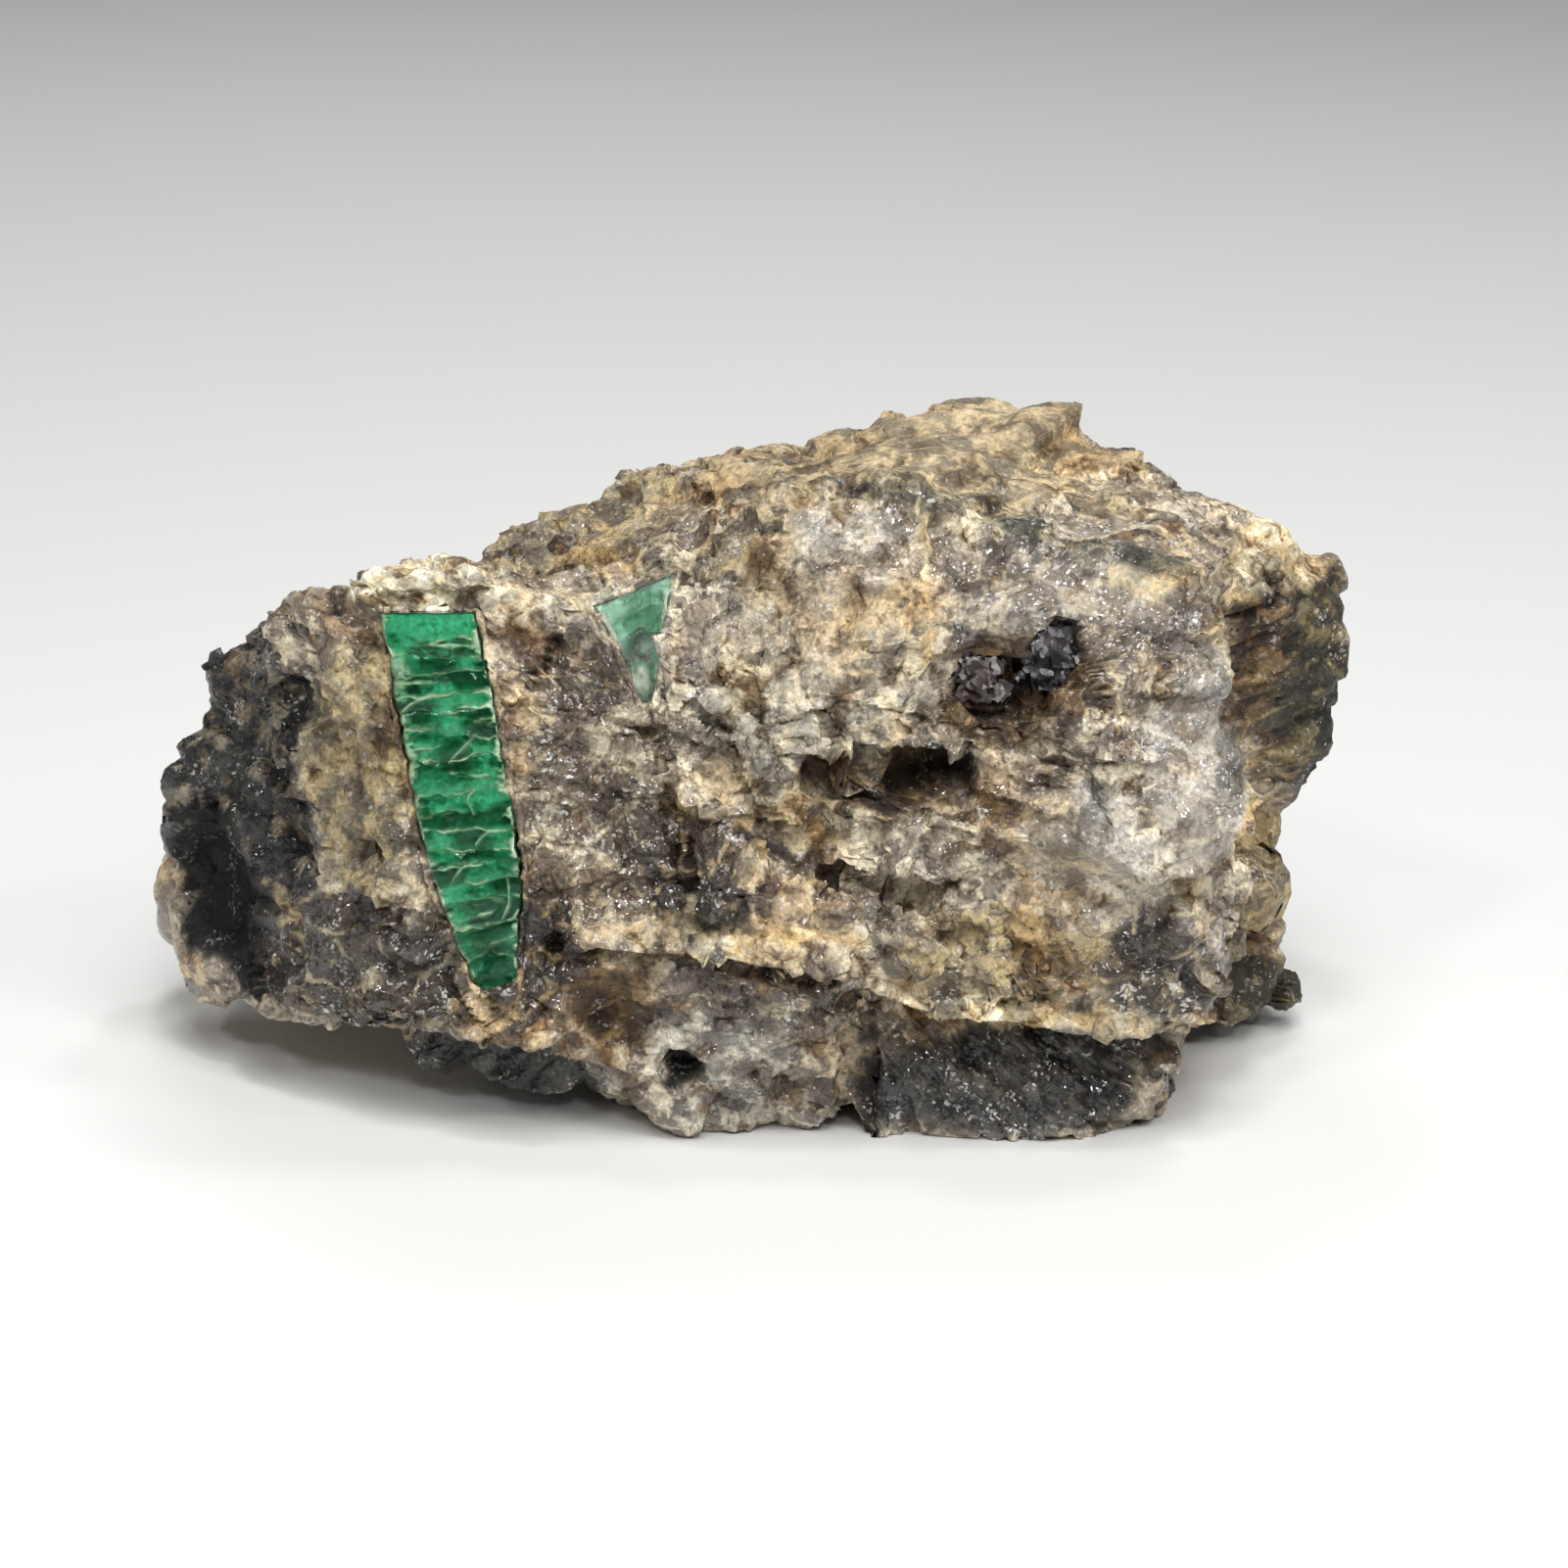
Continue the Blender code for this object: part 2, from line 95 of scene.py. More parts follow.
# The emeralds. The axis runs from foot to top, and the taper gives the scale of the section at each
# height. The shear slopes the top. Breaks are heights. Seams are a height and the shares of the half
# width where each starts and ends, and branches are paths across and up. The cloud's colours are
# deep, bright and cream, with milk its share of bright, vein the strength of its veins and grain the
# stretch of its noise along each axis. Patches of cream are a middle and half sizes, across and up
PRISMS = {
    "emerald_crystal_large": {
        "foot": (-16.4, -15.8, 10.4), "top": (-20.4, -11, 33.4), "half_width": 3.3, "shear": -0.17,
        "cloud": [(0.006, 0.17, 0.06), (0.06, 0.55, 0.27), (0.68, 0.86, 0.60)],
        "milk": 0.35, "vein": 0.95, "grain": (1, 0, 1.4),
        "patches": [(-2.5, 20.4, 0.75, 1.2), (1.0, 22.3, 1.8, 0.16), (0.2, 4.3, 2.4, 0.22)],
        "branches": [[(-0.2, 15.1), (0.9, 15.9), (1.6, 16.6)], [(0.4, 9.5), (1.4, 10.3), (2.4, 10.2)],
                     [(1.0, 13.0), (0.3, 12.3), (0.5, 11.4)], [(-2.6, 18.2), (-1.6, 18.9), (-0.6, 19.1)],
                     [(-1.8, 7.2), (-0.9, 8.1), (0.2, 8.3)], [(1.2, 4.6), (1.7, 5.8), (2.0, 7.0)]],
        "section": [(-0.86, -0.62), (0.95, -0.62), (1, -0.1), (0.62, 0.75), (-0.62, 0.75), (-1, -0.2)],
        "taper": [(0, 0.28), (0.7, 0.46), (3.8, 0.68), (6.8, 0.9), (11, 0.97), (19, 1), (24.4, 0.94)],
        "breaks": [2.1, 4.3, 7.1, 9.3, 13, 15, 16.7, 18.1, 20.5, 21.7],
        "seams": [(2.1, -0.9, 0.9), (4.3, -0.93, 0.93), (6, -0.9, 0.5), (7.1, -0.2, 0.93), (9.3, -0.93, 0.93),
                  (10.5, -0.5, 0.93), (13, -0.93, 0.93), (15, -0.93, 0.93), (16.7, -0.93, 0.93),
                  (18.1, -0.6, 0.93), (19.2, -0.93, 0.93), (20.5, -0.93, 0.93), (21.7, -0.93, 0.93),
                  (3.2, -0.4, 0.8), (5.1, -0.8, 0.2), (8.2, -0.7, 0.3), (11.8, -0.9, 0.1), (14.1, -0.1, 0.9),
                  (15.9, -0.9, -0.2), (17.5, 0.1, 0.9), (19.9, -0.8, 0.2), (22.6, -0.3, 0.8)]},
    "emerald_crystal_small": {
        "foot": (-6.8, -12.7, 28.2), "top": (-7.6, -10.6, 35.3), "half_width": 2.8, "shear": 0.29,
        "cloud": [(0.22, 0.50, 0.34), (0.46, 0.76, 0.58), (0.80, 0.86, 0.72)],
        "milk": 0.5, "vein": 0.1, "grain": (1.6, 0, 0.22), "patches": [(-0.3, 1.6, 0.8, 1.3)],
        "branches": [],
        "section": [(-1, -0.35), (0.95, -0.35), (0.7, 0.5), (-0.6, 0.45)],
        "taper": [(0, 0.14), (2.5, 0.4), (5, 0.68), (6.6, 0.85), (7.4, 1)],
        "breaks": [4.4], "seams": [(4.4, -0.6, 0.9), (6.2, -0.2, 0.9)]},
}
# The dark mica: the heights where packs of plates meet, and each pack's scale
MICA_LAYERS = [0, 0.8, 1.5, 2, 2.6, 3.1, 3.6]
MICA_LAYER_SCALES = [0.9, 1, 0.94, 1, 0.86, 0.7]
MICA_BOOKS = {
    "dark_mica_large": {
        "foot": (18.6, -10.9, 30.9), "top": (18.8, -14.2, 32.2),
        "section": [(2.1, 0), (1.2, 2.4), (-0.9, 2.6), (-2.1, 0.3), (-1.1, -2.4), (1, -2.6)]},
    "dark_mica_small": {
        "foot": (14.1, -11.3, 29.8), "top": (13.8, -14.7, 30.9),
        "section": [(1.5, 0), (0.8, 1.5), (-0.7, 1.6), (-1.5, 0.1), (-0.8, -1.4), (0.7, -1.5)]},
}
# The stone's straight-sided lumps, each as its corners
LUMPS = {
    "emerald block": [
        (-24.5, -12, 37), (-16.5, -11.5, 36.5), (-29.5, -8, 34.5), (-34, -3, 30), (-38, 2, 25.5),
        (-40, 1, 16), (-39.5, 2, 12.5), (-38.5, 0, 3.5), (-34, -7, 5.5), (-23.5, -16, 8),
        (-13, -18.5, 7), (-4.5, -19, 11), (-5, -13, 33.5), (-33, 12, 25), (-35, 11, 12),
        (-30, 14, 9), (-10, 13, 30), (-12, 12, 5)],
    "left spur": [
        (-41, 8, 7), (-40, 8, 10.5), (-40, 8, 4), (-39.5, 3, 6), (-38, 2, 4.5), (-39.5, 4, 12),
        (-36, 14, 6), (-34, 14, 17), (-28, 17, 14), (-28, 14, 6)],
    "main body": [
        (5.5, -9, 41.5), (18, -11, 38.5), (28, -12, 36), (28.5, -15, 30), (29.5, -16, 8),
        (20.5, -19, 8), (10.5, -19.5, 10), (5, -19.5, 12.5), (-4.5, -19, 13), (-7, -13, 33.5),
        (-3, -7, 39.5), (6, 19, 37), (24, 16, 34), (33, 10, 28), (31, 12, 5), (-8, 15, 4)],
    "crest": [
        (8.5, 12, 41), (26, 12, 39), (34, 8, 35.5), (-3, 8, 40), (-5.5, 4, 40), (5.5, -9, 42),
        (28, -12, 36.5), (-3, -7, 39.5), (8, 22, 34), (24, 20, 31), (-6, 20, 33), (5, 20, 8),
        (30, 16, 10)],
    "crest cap": [
        (8.5, 13, 42.5), (14, 14, 42.5), (19.5, 14, 42), (22, 12, 41), (8.5, 6, 41.5),
        (18.5, 4, 41.5), (10, 20, 38), (18, 19, 37)],
    "left shoulder": [
        (-19.5, 4, 33), (-18, 5, 35), (-15.5, 6, 36.5), (-11.5, 8, 37), (-8.5, 8, 39), (-5.5, 8, 39.5),
        (-16, -8, 32), (-5, -8, 37), (-18, 14, 27), (-16, 14, 10), (-6, 19, 33), (-4, 19, 8)],
    "rear right lobe": [
        (33.5, 7, 36), (36.5, 7, 34.5), (39, 7, 32.5), (39.5, 6, 29.5), (40, 5, 27), (40, 5, 23.5),
        (39, 5, 18), (37, 6, 14), (29.5, -8, 34.5), (36, 15, 29), (36, 14, 20), (29, 19, 31),
        (30, 16, 12)],
    "rear right foot": [
        (35.5, 5, 9), (37, 4, 5.5), (37.5, 4, 2), (35, 2, 1), (32.5, -1, 1.5), (34, 13, 4),
        (33, 13, 12), (28, 16, 2), (26, 10, 1)],
    "quartz lens": [
        (28, -13, 33.5), (29, -14, 30.5), (30.7, -14.5, 25), (30.3, -15, 22), (28.5, -17, 18.5),
        (25, -19.5, 18.5), (19.5, -19.5, 21), (20, -18.5, 26), (24, -15.5, 33.5)],
    "left foot": [
        (-13.5, -16.5, 5.5), (-11, -16.5, 4), (-8, -16.5, 3), (-4.5, -16.5, 2), (0.5, -16.5, 1),
        (5.5, -16.5, 0.5), (5.5, -19, 9), (4.5, -19.5, 11.5), (-13, -19.5, 14.5), (-13, 9, -1),
        (-8, 12, -1), (6, 14, -1), (6, 14, 8), (-11, -8, -1), (0, -15, -1)],
    "right foot": [
        (7, -16.5, 6.5), (7, -16, 0.5), (15.5, -16.5, 0.5), (21, -17, 0.5), (27.5, -14.5, 0.5),
        (28.5, -14.5, 5), (29, 4, -1), (30, 8, 4), (26, 13, -1), (6, 15, -1), (6, 15, 8),
        (30, 10, 8), (8, -14.5, -1), (27, -13, -1)],
    "under shelf": [
        (-23, -10, 5), (-22, -10, 2.5), (-17, -12, 1.5), (-12.5, -13.5, 1), (-12, -14, 6),
        (-26, 4, 4), (-20, 8, 3), (-12, 8, 0)],
}
# Each form is its middle, its half sizes along X, Y and Z, and its height: below zero for a hollow
FORMS = {
    "main cavity": ((9, -17, 24.4), (5.2, 4, 1.7), -3.0),
    "main cavity end": ((12.5, -17, 24.2), (2.0, 4, 2.0), -2.2),
    "mica hollow": ((15.5, -14.5, 29.8), (2.8, 4, 1.6), -1.6),
    "deep recess": ((32.5, -4, 29), (2.0, 6, 5.0), -4.5),
    "shell-shaped break": ((-9.3, -16.5, 9), (2.5, 4, 2.2), -1.5),
    "black vug": ((-36, -2, 12), (2.0, 5, 3.6), -2.2),
    "upper left vug": ((-33.5, -4, 24), (2.4, 5, 2.4), -1.1),
    "lace pit": ((-31, -9, 17), (2.0, 5, 2.0), -1.0),
    "foot vug": ((-4.7, -17, 5.8), (1.4, 3, 1.3), -1.1),
    "brown pit": ((-13, -13.5, 32.2), (3.0, 4, 1.5), -0.9),
    "smoky pit": ((-9, -17, 18), (2.2, 4, 2.4), -0.9),
    "ochre hollow": ((6, -18.5, 19.5), (3.0, 4, 1.6), -0.8),
    "white lens": ((27.5, -17, 24), (3.6, 4, 4.5), 0.8),
    "white lump": ((21, -18, 21), (3.8, 4, 2.8), 1.0),
    "lilac swelling": ((20, -13.5, 34.5), (5, 4, 3), 0.7),
    "brow": ((8, -11, 37.5), (5, 4, 3), 0.8),
    "lower swelling": ((-1, -18.5, 17.5), (4.5, 4, 2.4), 0.7),
    "smoky blocks": ((26, -17.5, 12.5), (3.4, 4, 3.2), 0.8),
    "lace swelling": ((-30, -9, 23), (3, 5, 3), 0.8),
    "back hollow": ((-12, 17, 24), (6, 5, 5), -2.2),
    "back step": ((14, 20, 16), (8, 5, 3), -2.0),
    "back left pit": ((-28, 15, 17), (4, 5, 3.5), -1.4),
    "right side pit": ((36, 6, 16), (3, 6, 2.5), -1.4),
}
# Each ridge is its points, its half width and its height: below zero for a crack or a groove
RIDGES = {
    "ochre ledge": ([(-13, -17, 14.5), (-4.5, -19, 14.3), (5.5, -19.5, 13.2)], 0.9, 0.8),
    "slit": ([(5.5, -18, 18.3), (12, -17.5, 16.7)], 0.7, -1.6),
    "long crack": ([(-8.2, -12.5, 32), (-5, -16, 22.3), (-4, -18, 16.4)], 0.7, -0.9),
    "main ledge lip": ([(6, -17, 9.5), (10.5, -19, 9.7), (21, -18.5, 8.8), (28, -16, 8.3)], 1.1, 0.9),
    "upper rim": ([(-16, -12, 35.5), (-7, -12, 34.5), (-2, -10, 38)], 1.0, 0.6),
    "rib one": ([(-16, -14, 29.8), (-9, -13.5, 29.8)], 0.8, -0.6),
    "rib two": ([(-15.5, -15, 26), (-8, -14.5, 26)], 0.8, -0.6),
    "rib three": ([(-15, -15.5, 21.5), (-7, -16, 21.5)], 0.8, -0.6),
    "lens rim": ([(28.5, -13, 33), (31, -14, 25), (29, -16.5, 18.5)], 1.2, 0.5),
    "front crest": ([(5.5, -9.5, 41.5), (11.5, -10, 40.8), (18, -11, 38.7), (28, -12, 36.3)], 1.4, 0.7),
    "top fold one": ([(-2, 2, 41), (12, -2, 41), (28, -6, 38)], 1.2, 0.5),
    "top fold two": ([(2, 8, 42), (16, 5, 42), (31, 1, 38)], 1.2, -0.6),
    "layer one": ([(10, -18.5, 13), (20, -18.5, 11.5), (28, -16.5, 10.5)], 0.8, 0.6),
    "layer two": ([(12, -18, 15.5), (22, -18.5, 14)], 0.8, 0.5),
}
# Hollows, swellings and cracks too sharp for the solid, in the same terms
DEEP_FORMS = {
    "main cavity floor": ((8.4, -15, 24.5), (4.9, 6, 1.4), -2.4),
    "main cavity pit": ((10.8, -15, 23.6), (2.2, 6, 1.4), -1.0),
    "crystal in the cavity": ((12.4, -14, 25.2), (0.5, 6, 0.6), 1.2),
    "mica hollow floor": ((15.9, -13, 29.2), (2.6, 6, 2.0), -3.0),
    "black hollow": ((-37, -6, 12.5), (3, 7, 4.2), -2.0),
    "right flank": ((32.5, 3.5, 11.5), (4, 7.5, 3.6), 3.4),
    "right lobe edge": ((40, 4, 28), (4, 7, 6), 0.8),
    "right foot edge": ((37, 3, 5), (3, 6, 4), 0.4),
    "left knobs": ((-39.5, 0, 21), (3, 6, 3.2), 1.3),
    "left knobs low": ((-40, 0, 15.5), (3, 6, 2), 1.0),
    "far left edge": ((-41, 7, 9), (3, 6, 4), 0.8),
    "collar above the mica": ((17, -14, 34.2), (4.5, 6, 1.6), 0.9),
    "collar beside the mica": ((21.8, -13, 31.5), (1.5, 6, 3.0), 0.7),
    "vug by the cap": ((-30.5, -9, 27.5), (1.2, 4, 1.0), -1.2),
    "vug in the ochre": ((-25.5, -14.5, 18.5), (1.3, 4, 1.0), -1.2),
    "vug in the lace": ((-31.5, -8, 22), (1.0, 4, 1.4), -1.2),
    "pit by the emerald": ((-24.6, -13.5, 24.6), (0.9, 4, 1.6), -0.8),
    "above the emerald": ((-20.4, -12.6, 34.9), (3.4, 3, 1.0), -0.9),
    "hole in the cream": ((4.6, -13, 32.3), (1.0, 3, 0.9), -0.9),
    "orange pit": ((-11.6, -12.5, 32.2), (1.6, 4, 0.8), -0.9),
    "silver pit": ((8, -17.5, 21), (1.4, 4, 0.9), -0.7),
    "deep brown recess": ((31.6, -8, 29.5), (1.8, 6, 4.8), -2.4),
    "foot hollow": ((-4.7, -17, 5.6), (1.0, 3, 0.9), -1.2),
    "shell floor": ((-8.8, -16.5, 8.6), (2.2, 4, 1.7), -0.9),
}
CRACKS = {
    "slit": ([(5.4, -17, 18.4), (7.2, -16.6, 17.6), (9.5, -16.5, 16.9), (11.2, -16.3, 16.3)], 0.6, -2.2),
    "upper slit": ([(-1.5, -16.5, 21), (2.7, -16.9, 19.1), (5.4, -17, 18.4)], 0.5, -1.1),
    "long crack": ([(-8.1, -11.4, 32), (-7, -12.5, 28.8), (-5.9, -14.3, 24.4), (-4.7, -15.7, 21),
                    (-4.4, -17, 18.4), (-4.1, -17.8, 15.8)], 0.45, -1.2),
    "foot notch": ([(6.8, -16.5, 9.5), (7.2, -16, 6), (7.2, -15.8, 3), (7.3, -16, 0)], 0.7, -2.4),
    "under the ledge": ([(6.5, -17.5, 7.9), (11.1, -17.6, 7.5), (17.5, -18, 7.2), (23.4, -17.6, 6.8),
                         (27.5, -15, 6.6)], 0.9, -2.2),
    "beside the emerald": ([(-22.9, -13.4, 27), (-21.4, -14.6, 20), (-19.6, -15, 14)], 0.6, -0.9),
    "under the ochre line": ([(-13, -16.8, 13.4), (-9.4, -18.5, 13.1), (-4.2, -19.2, 13.1),
                              (0.4, -19.2, 12.4), (5, -19.4, 11.7)], 0.6, -1.6),
    "over the ochre line": ([(-9.4, -18.4, 15.7), (-4.2, -18.6, 15.6), (0.4, -18.8, 14.9)], 0.4, -0.7),
    "lens edge": ([(22.7, -16, 30.5), (23.5, -17.5, 24.5), (22, -18, 22.5)], 0.4, -0.7),
    "beside the lens": ([(30.2, -12.6, 33.2), (31.4, -13.6, 30.4), (32.4, -14.4, 26), (32.4, -14.8, 22.4),
                         (31.2, -14.6, 19)], 0.7, -1.5),
    "lens foot": ([(22.5, -18.5, 18.3), (26.5, -17.5, 18), (29.4, -15.5, 19)], 0.4, -0.6),
    "block joint": ([(-12, -13.6, 28), (-4.5, -14.4, 26.5)], 0.4, -0.9),
    "block joint low": ([(-11, -16.5, 19), (-4.3, -17.2, 18)], 0.4, -0.9),
    "block side": ([(-9, -13.2, 28), (-8.4, -16, 19)], 0.35, -0.8),
}
# Smooth places, where the finer relief fades: middle and half sizes
SMOOTH_PLACES = {
    "lens": ((28, -16, 25), (3.2, 6, 6.5)),
    "white lump": ((21, -18, 21), (4, 5, 2.8)),
    "lilac quartz": ((21, -13, 35), (7, 5, 3)),
    "top face": ((14, 4, 42), (17, 12, 2.5)),
    "far left flake": ((-40, 6, 8), (2, 6, 4)),
    "shell-shaped break": ((-9.3, -16.5, 9), (2.6, 4, 2.4)),
}

# Rock kinds: body colour, crust colour, share of crust, the gloss of body and of crust, and where the
# crust lies: above zero in the joints of the grains, below zero on the grains. Colours run to 255
KINDS = {
    "mixed": ((146, 134, 118), (220, 208, 182), 0.40, 0.85, 0.40, 1.0),
    "cream": ((188, 180, 164), (214, 202, 174), 0.34, 0.55, 0.35, 1.0),
    "cap": ((248, 238, 212), (238, 220, 178), 0.22, 0.20, 0.15, 1.0),
    "pale quartz": ((190, 184, 172), (226, 218, 200), 0.25, 0.75, 0.40, 1.0),
    "crust": ((236, 224, 192), (214, 188, 140), 0.28, 0.20, 0.20, 1.0),
    "ochre": ((148, 136, 110), (178, 160, 122), 0.45, 0.60, 0.25, 1.0),
    "rust": ((130, 110, 92), (164, 138, 108), 0.40, 0.60, 0.30, 1.0),
    "smoky": ((112, 98, 82), (196, 184, 156), 0.26, 1.00, 0.50, 1.0),
    "umber": ((70, 58, 45), (170, 156, 126), 0.20, 0.95, 0.40, -0.4),
    # This kind is painted shade: near black-brown laid in the depths of cavities and cracks
    "painted shade": ((44, 30, 17), (78, 58, 34), 0.14, 0.30, 0.20, -0.5),
    "brown": ((56, 41, 26), (114, 92, 62), 0.20, 0.40, 0.25, -0.5),
    "amber": ((104, 82, 52), (152, 128, 90), 0.30, 0.45, 0.25, -0.5),
    "grey quartz": ((152, 145, 134), (216, 208, 190), 0.28, 0.95, 0.60, 1.0),
    "lilac quartz": ((128, 119, 110), (186, 174, 152), 0.25, 0.90, 0.60, 1.0),
    "white quartz": ((166, 160, 150), (206, 198, 180), 0.28, 0.80, 0.50, 1.0),
    "lace": ((18, 16, 14), (136, 128, 112), 0.40, 0.65, 0.40, -2.0),
    # Near black: a dark crystal in the main cavity, and painted shade where it fills the left hollow and the
    # vug at the foot
    "black": ((3, 3, 3), (34, 32, 30), 0.10, 0.25, 0.25, -2.0),
    "slab": ((36, 34, 32), (98, 96, 90), 0.28, 0.90, 0.60, -0.8),
    "green": ((60, 57, 40), (126, 116, 84), 0.34, 0.45, 0.35, -0.8),
    "foliated": ((146, 132, 106), (196, 176, 138), 0.46, 0.45, 0.25, 1.0),
    "grey streak": ((90, 86, 70), (152, 142, 116), 0.38, 0.65, 0.50, 1.0),
    "bed": ((246, 246, 236), (150, 168, 130), 0.30, 0.50, 0.50, 1.0),
}
# Zones are painted in this order: kind, middle and half sizes
ZONES = {
    "back left flank": ("ochre", (-11, 3, 36), (9, 9, 4.5)),
    "top face": ("foliated", (12, 4, 41), (19, 15, 3.5)),
    "left end": ("lace", (-34, -3, 20), (7.2, 12, 13)),
    # The left hollow and the rock below it are painted near black: painted shade
    "black hollow": ("black", (-35.8, -3, 12.5), (3.6, 11, 5.6)),
    "black low": ("black", (-33, -5, 9.5), (3.4, 8, 3.6)),
    "far left flake": ("white quartz", (-40.5, 7, 7.5), (2, 7, 4.5)),
    "ochre by the emerald": ("ochre", (-25.2, -12.5, 24), (3.6, 8, 11)),
    "rust tint": ("rust", (-26.5, -10, 33.6), (2.2, 6, 1.8)),
    "cream cap": ("cap", (-20.5, -10.5, 36.0), (5.2, 6, 2.2)),
    "smoky left low": ("umber", (-26, -12, 10.5), (8, 9, 5)),
    "smoky foot": ("umber", (-14.5, -16, 12.5), (4, 5, 4)),
    "smoky low middle": ("smoky", (0, -18, 10.5), (9, 6, 3)),
    "smoky ribs": ("smoky", (-10, -14.5, 23.5), (5.5, 8, 9.5)),
    "smoky middle": ("umber", (-4, -17, 19), (3.4, 6, 4)),
    "brown pits": ("rust", (-13, -12.5, 32.4), (3.4, 5, 1.6)),
    "cream shoulder": ("cream", (-11, -11, 35), (4, 5, 1.2)),
    "cream main": ("cream", (3.5, -13, 31), (6.8, 8, 8.5)),
    "cream middle": ("cream", (1, -17.5, 25), (5, 6, 3)),
    "grey brow": ("pale quartz", (6, -11.5, 37), (4.5, 5, 2.6)),
    "ochre brow": ("ochre", (-2, -10, 38), (4, 5, 1.6)),
    "ochre middle": ("ochre", (3, -18, 21.5), (5, 6, 2)),
    "ochre ledge": ("crust", (0, -18.5, 14.9), (8, 5, 0.7)),
    "lilac quartz": ("lilac quartz", (20, -13, 34.5), (8.5, 7, 4.2)),
    "white lump": ("pale quartz", (21, -18, 21), (4.6, 5, 3.2)),
    "lens": ("white quartz", (27.8, -15.5, 25), (3.8, 7, 8)),
    "under the lens": ("cream", (26, -17, 17.5), (5, 5, 2)),
    "right lobe": ("green", (36.8, 3, 25), (3.8, 12, 9)),
    "right lobe top": ("crust", (34.5, 1, 34.2), (4.5, 11, 2.6)),
    # The deep recess is painted amber with darker brown in its middle: brown rock, with painted shade in its
    # depth
    "deep recess": ("amber", (32.4, -3, 27.6), (2.8, 10, 6.4)),
    "deep recess middle": ("brown", (32.0, -4, 30.2), (2.3, 9, 3.8)),
    "right foot": ("ochre", (33.5, 0, 10.5), (4.5, 12, 5.2)),
    "right foot base": ("green", (35, 1, 3), (5, 10, 2.6)),
    "low right ochre": ("ochre", (16, -18, 13.3), (7.5, 5, 3)),
    "smoky blocks": ("umber", (25.8, -17, 12.3), (4.2, 5, 3.8)),
    "main ledge": ("crust", (16, -18, 9.2), (8, 4, 1.1)),
    "bottom slab": ("slab", (17.5, -15, 3.6), (11.5, 6, 3.9)),
    "slab end": ("grey quartz", (26.6, -13.5, 3), (2.2, 4, 2.6)),
    "ochre tip": ("ochre", (29.3, -14, 7), (1.5, 3, 1.1)),
    "shell-shaped break": ("amber", (-9.6, -16.5, 8.8), (3.4, 5, 3.0)),
    "shell-shaped break depth": ("brown", (-10.2, -16.5, 8.2), (2.0, 5, 1.8)),
    "pale foot": ("grey quartz", (-2.5, -16.5, 7.5), (4.2, 4, 2.6)),
    "grey foot": ("grey quartz", (0.5, -16.5, 3), (6, 4, 3)),
    # The vug at the foot is painted near black: painted shade
    "foot vug": ("black", (-4.7, -17, 5.8), (1.5, 3, 1.3)),
    # The rock under the left block is painted in the dark slab colours: painted shade beneath the block
    "under shelf": ("slab", (-17, -11, 3), (8, 6, 3)),
    # The main cavity is painted darker towards its depth: amber and brown rock, then painted shade at the
    # bottom
    "main cavity": ("amber", (8.6, -14, 24.3), (5.2, 9, 1.9)),
    "main cavity middle": ("brown", (9.8, -14, 24.0), (4.0, 9, 1.4)),
    "main cavity depth": ("painted shade", (11.2, -13, 23.7), (2.2, 9, 1.2)),
    "cavity crystal": ("black", (12.6, -15, 25.2), (0.7, 6, 0.7)),
    "silver crystal": ("lace", (8, -17.5, 21.8), (1.2, 2, 0.9)),
    "mica hollow": ("amber", (16.0, -12, 29.9), (5.0, 9, 3.7)),
    "mica hollow depth": ("brown", (16.4, -12, 29.3), (3.0, 9, 2.4)),
    "sparkling patch": ("lace", (18, -17, 27.2), (1.7, 1.8, 1.3)),
    "ochre patch": ("crust", (24.5, -11.8, 37), (3.2, 3, 0.9)),
}
# Streaks: kind, points and half width
STREAKS = {
    "crest streak": ("grey streak", [
        (4.6, -7.2, 41.4), (6.5, -8.9, 41), (9.3, -9.6, 41.1), (12.1, -9.4, 40.5), (15.3, -9.6, 39.5),
        (18.4, -9.8, 38.7), (21.6, -10.8, 38.3), (24.4, -11.6, 37.6), (26.8, -11.6, 37.4)], 0.6),
    "second streak": ("grey streak", [
        (12, -7.6, 41), (16.5, -8, 40.2), (20, -9, 39), (23.5, -10, 38.2)], 0.3),
    "cream vein": ("crust", [(10.7, -10.5, 39.5), (10.8, -13.9, 31)], 0.35),
    # The streaks along the cracks, the notch and under the ledges are painted dark: painted shade in the
    # grooves, over brown rock where the kind is brown
    "long crack": ("painted shade", CRACKS["long crack"][0], 0.3),
    "slit": ("painted shade", CRACKS["slit"][0], 0.45),
    "upper slit": ("brown", CRACKS["upper slit"][0], 0.3),
    "foot notch": ("painted shade", CRACKS["foot notch"][0], 0.7),
    "under the ledge": ("painted shade", CRACKS["under the ledge"][0], 0.6),
    "under the ochre line": ("brown", CRACKS["under the ochre line"][0], 0.35),
    "lens rim": ("crust", [(28.7, -13.4, 33.6), (30, -14.6, 30.8), (31.1, -15.8, 26), (31.2, -16.6, 22.4),
                           (29.7, -15.9, 18.2)], 0.35),
}

# How much less a streak's depth counts, how soft and how ragged the painting's edges are, and the
# layers of lighter and darker tint over it
STREAK_SQUEEZE = (1, 0.45, 1)
STREAK_EDGE = 0.3
ZONE_EDGE = 0.9
ZONE_WARP = [(4.0, 1.5), (1.4, 0.5)]
TINTS = [(5.0, 0.25), (1.7, 0.15)]

# The look of a point is kept as three attributes of four numbers, and these columns are colours
LOOKS = ("body", "crust", "finish")
COLOUR_COLUMNS = [0, 1, 2, 4, 5, 6]

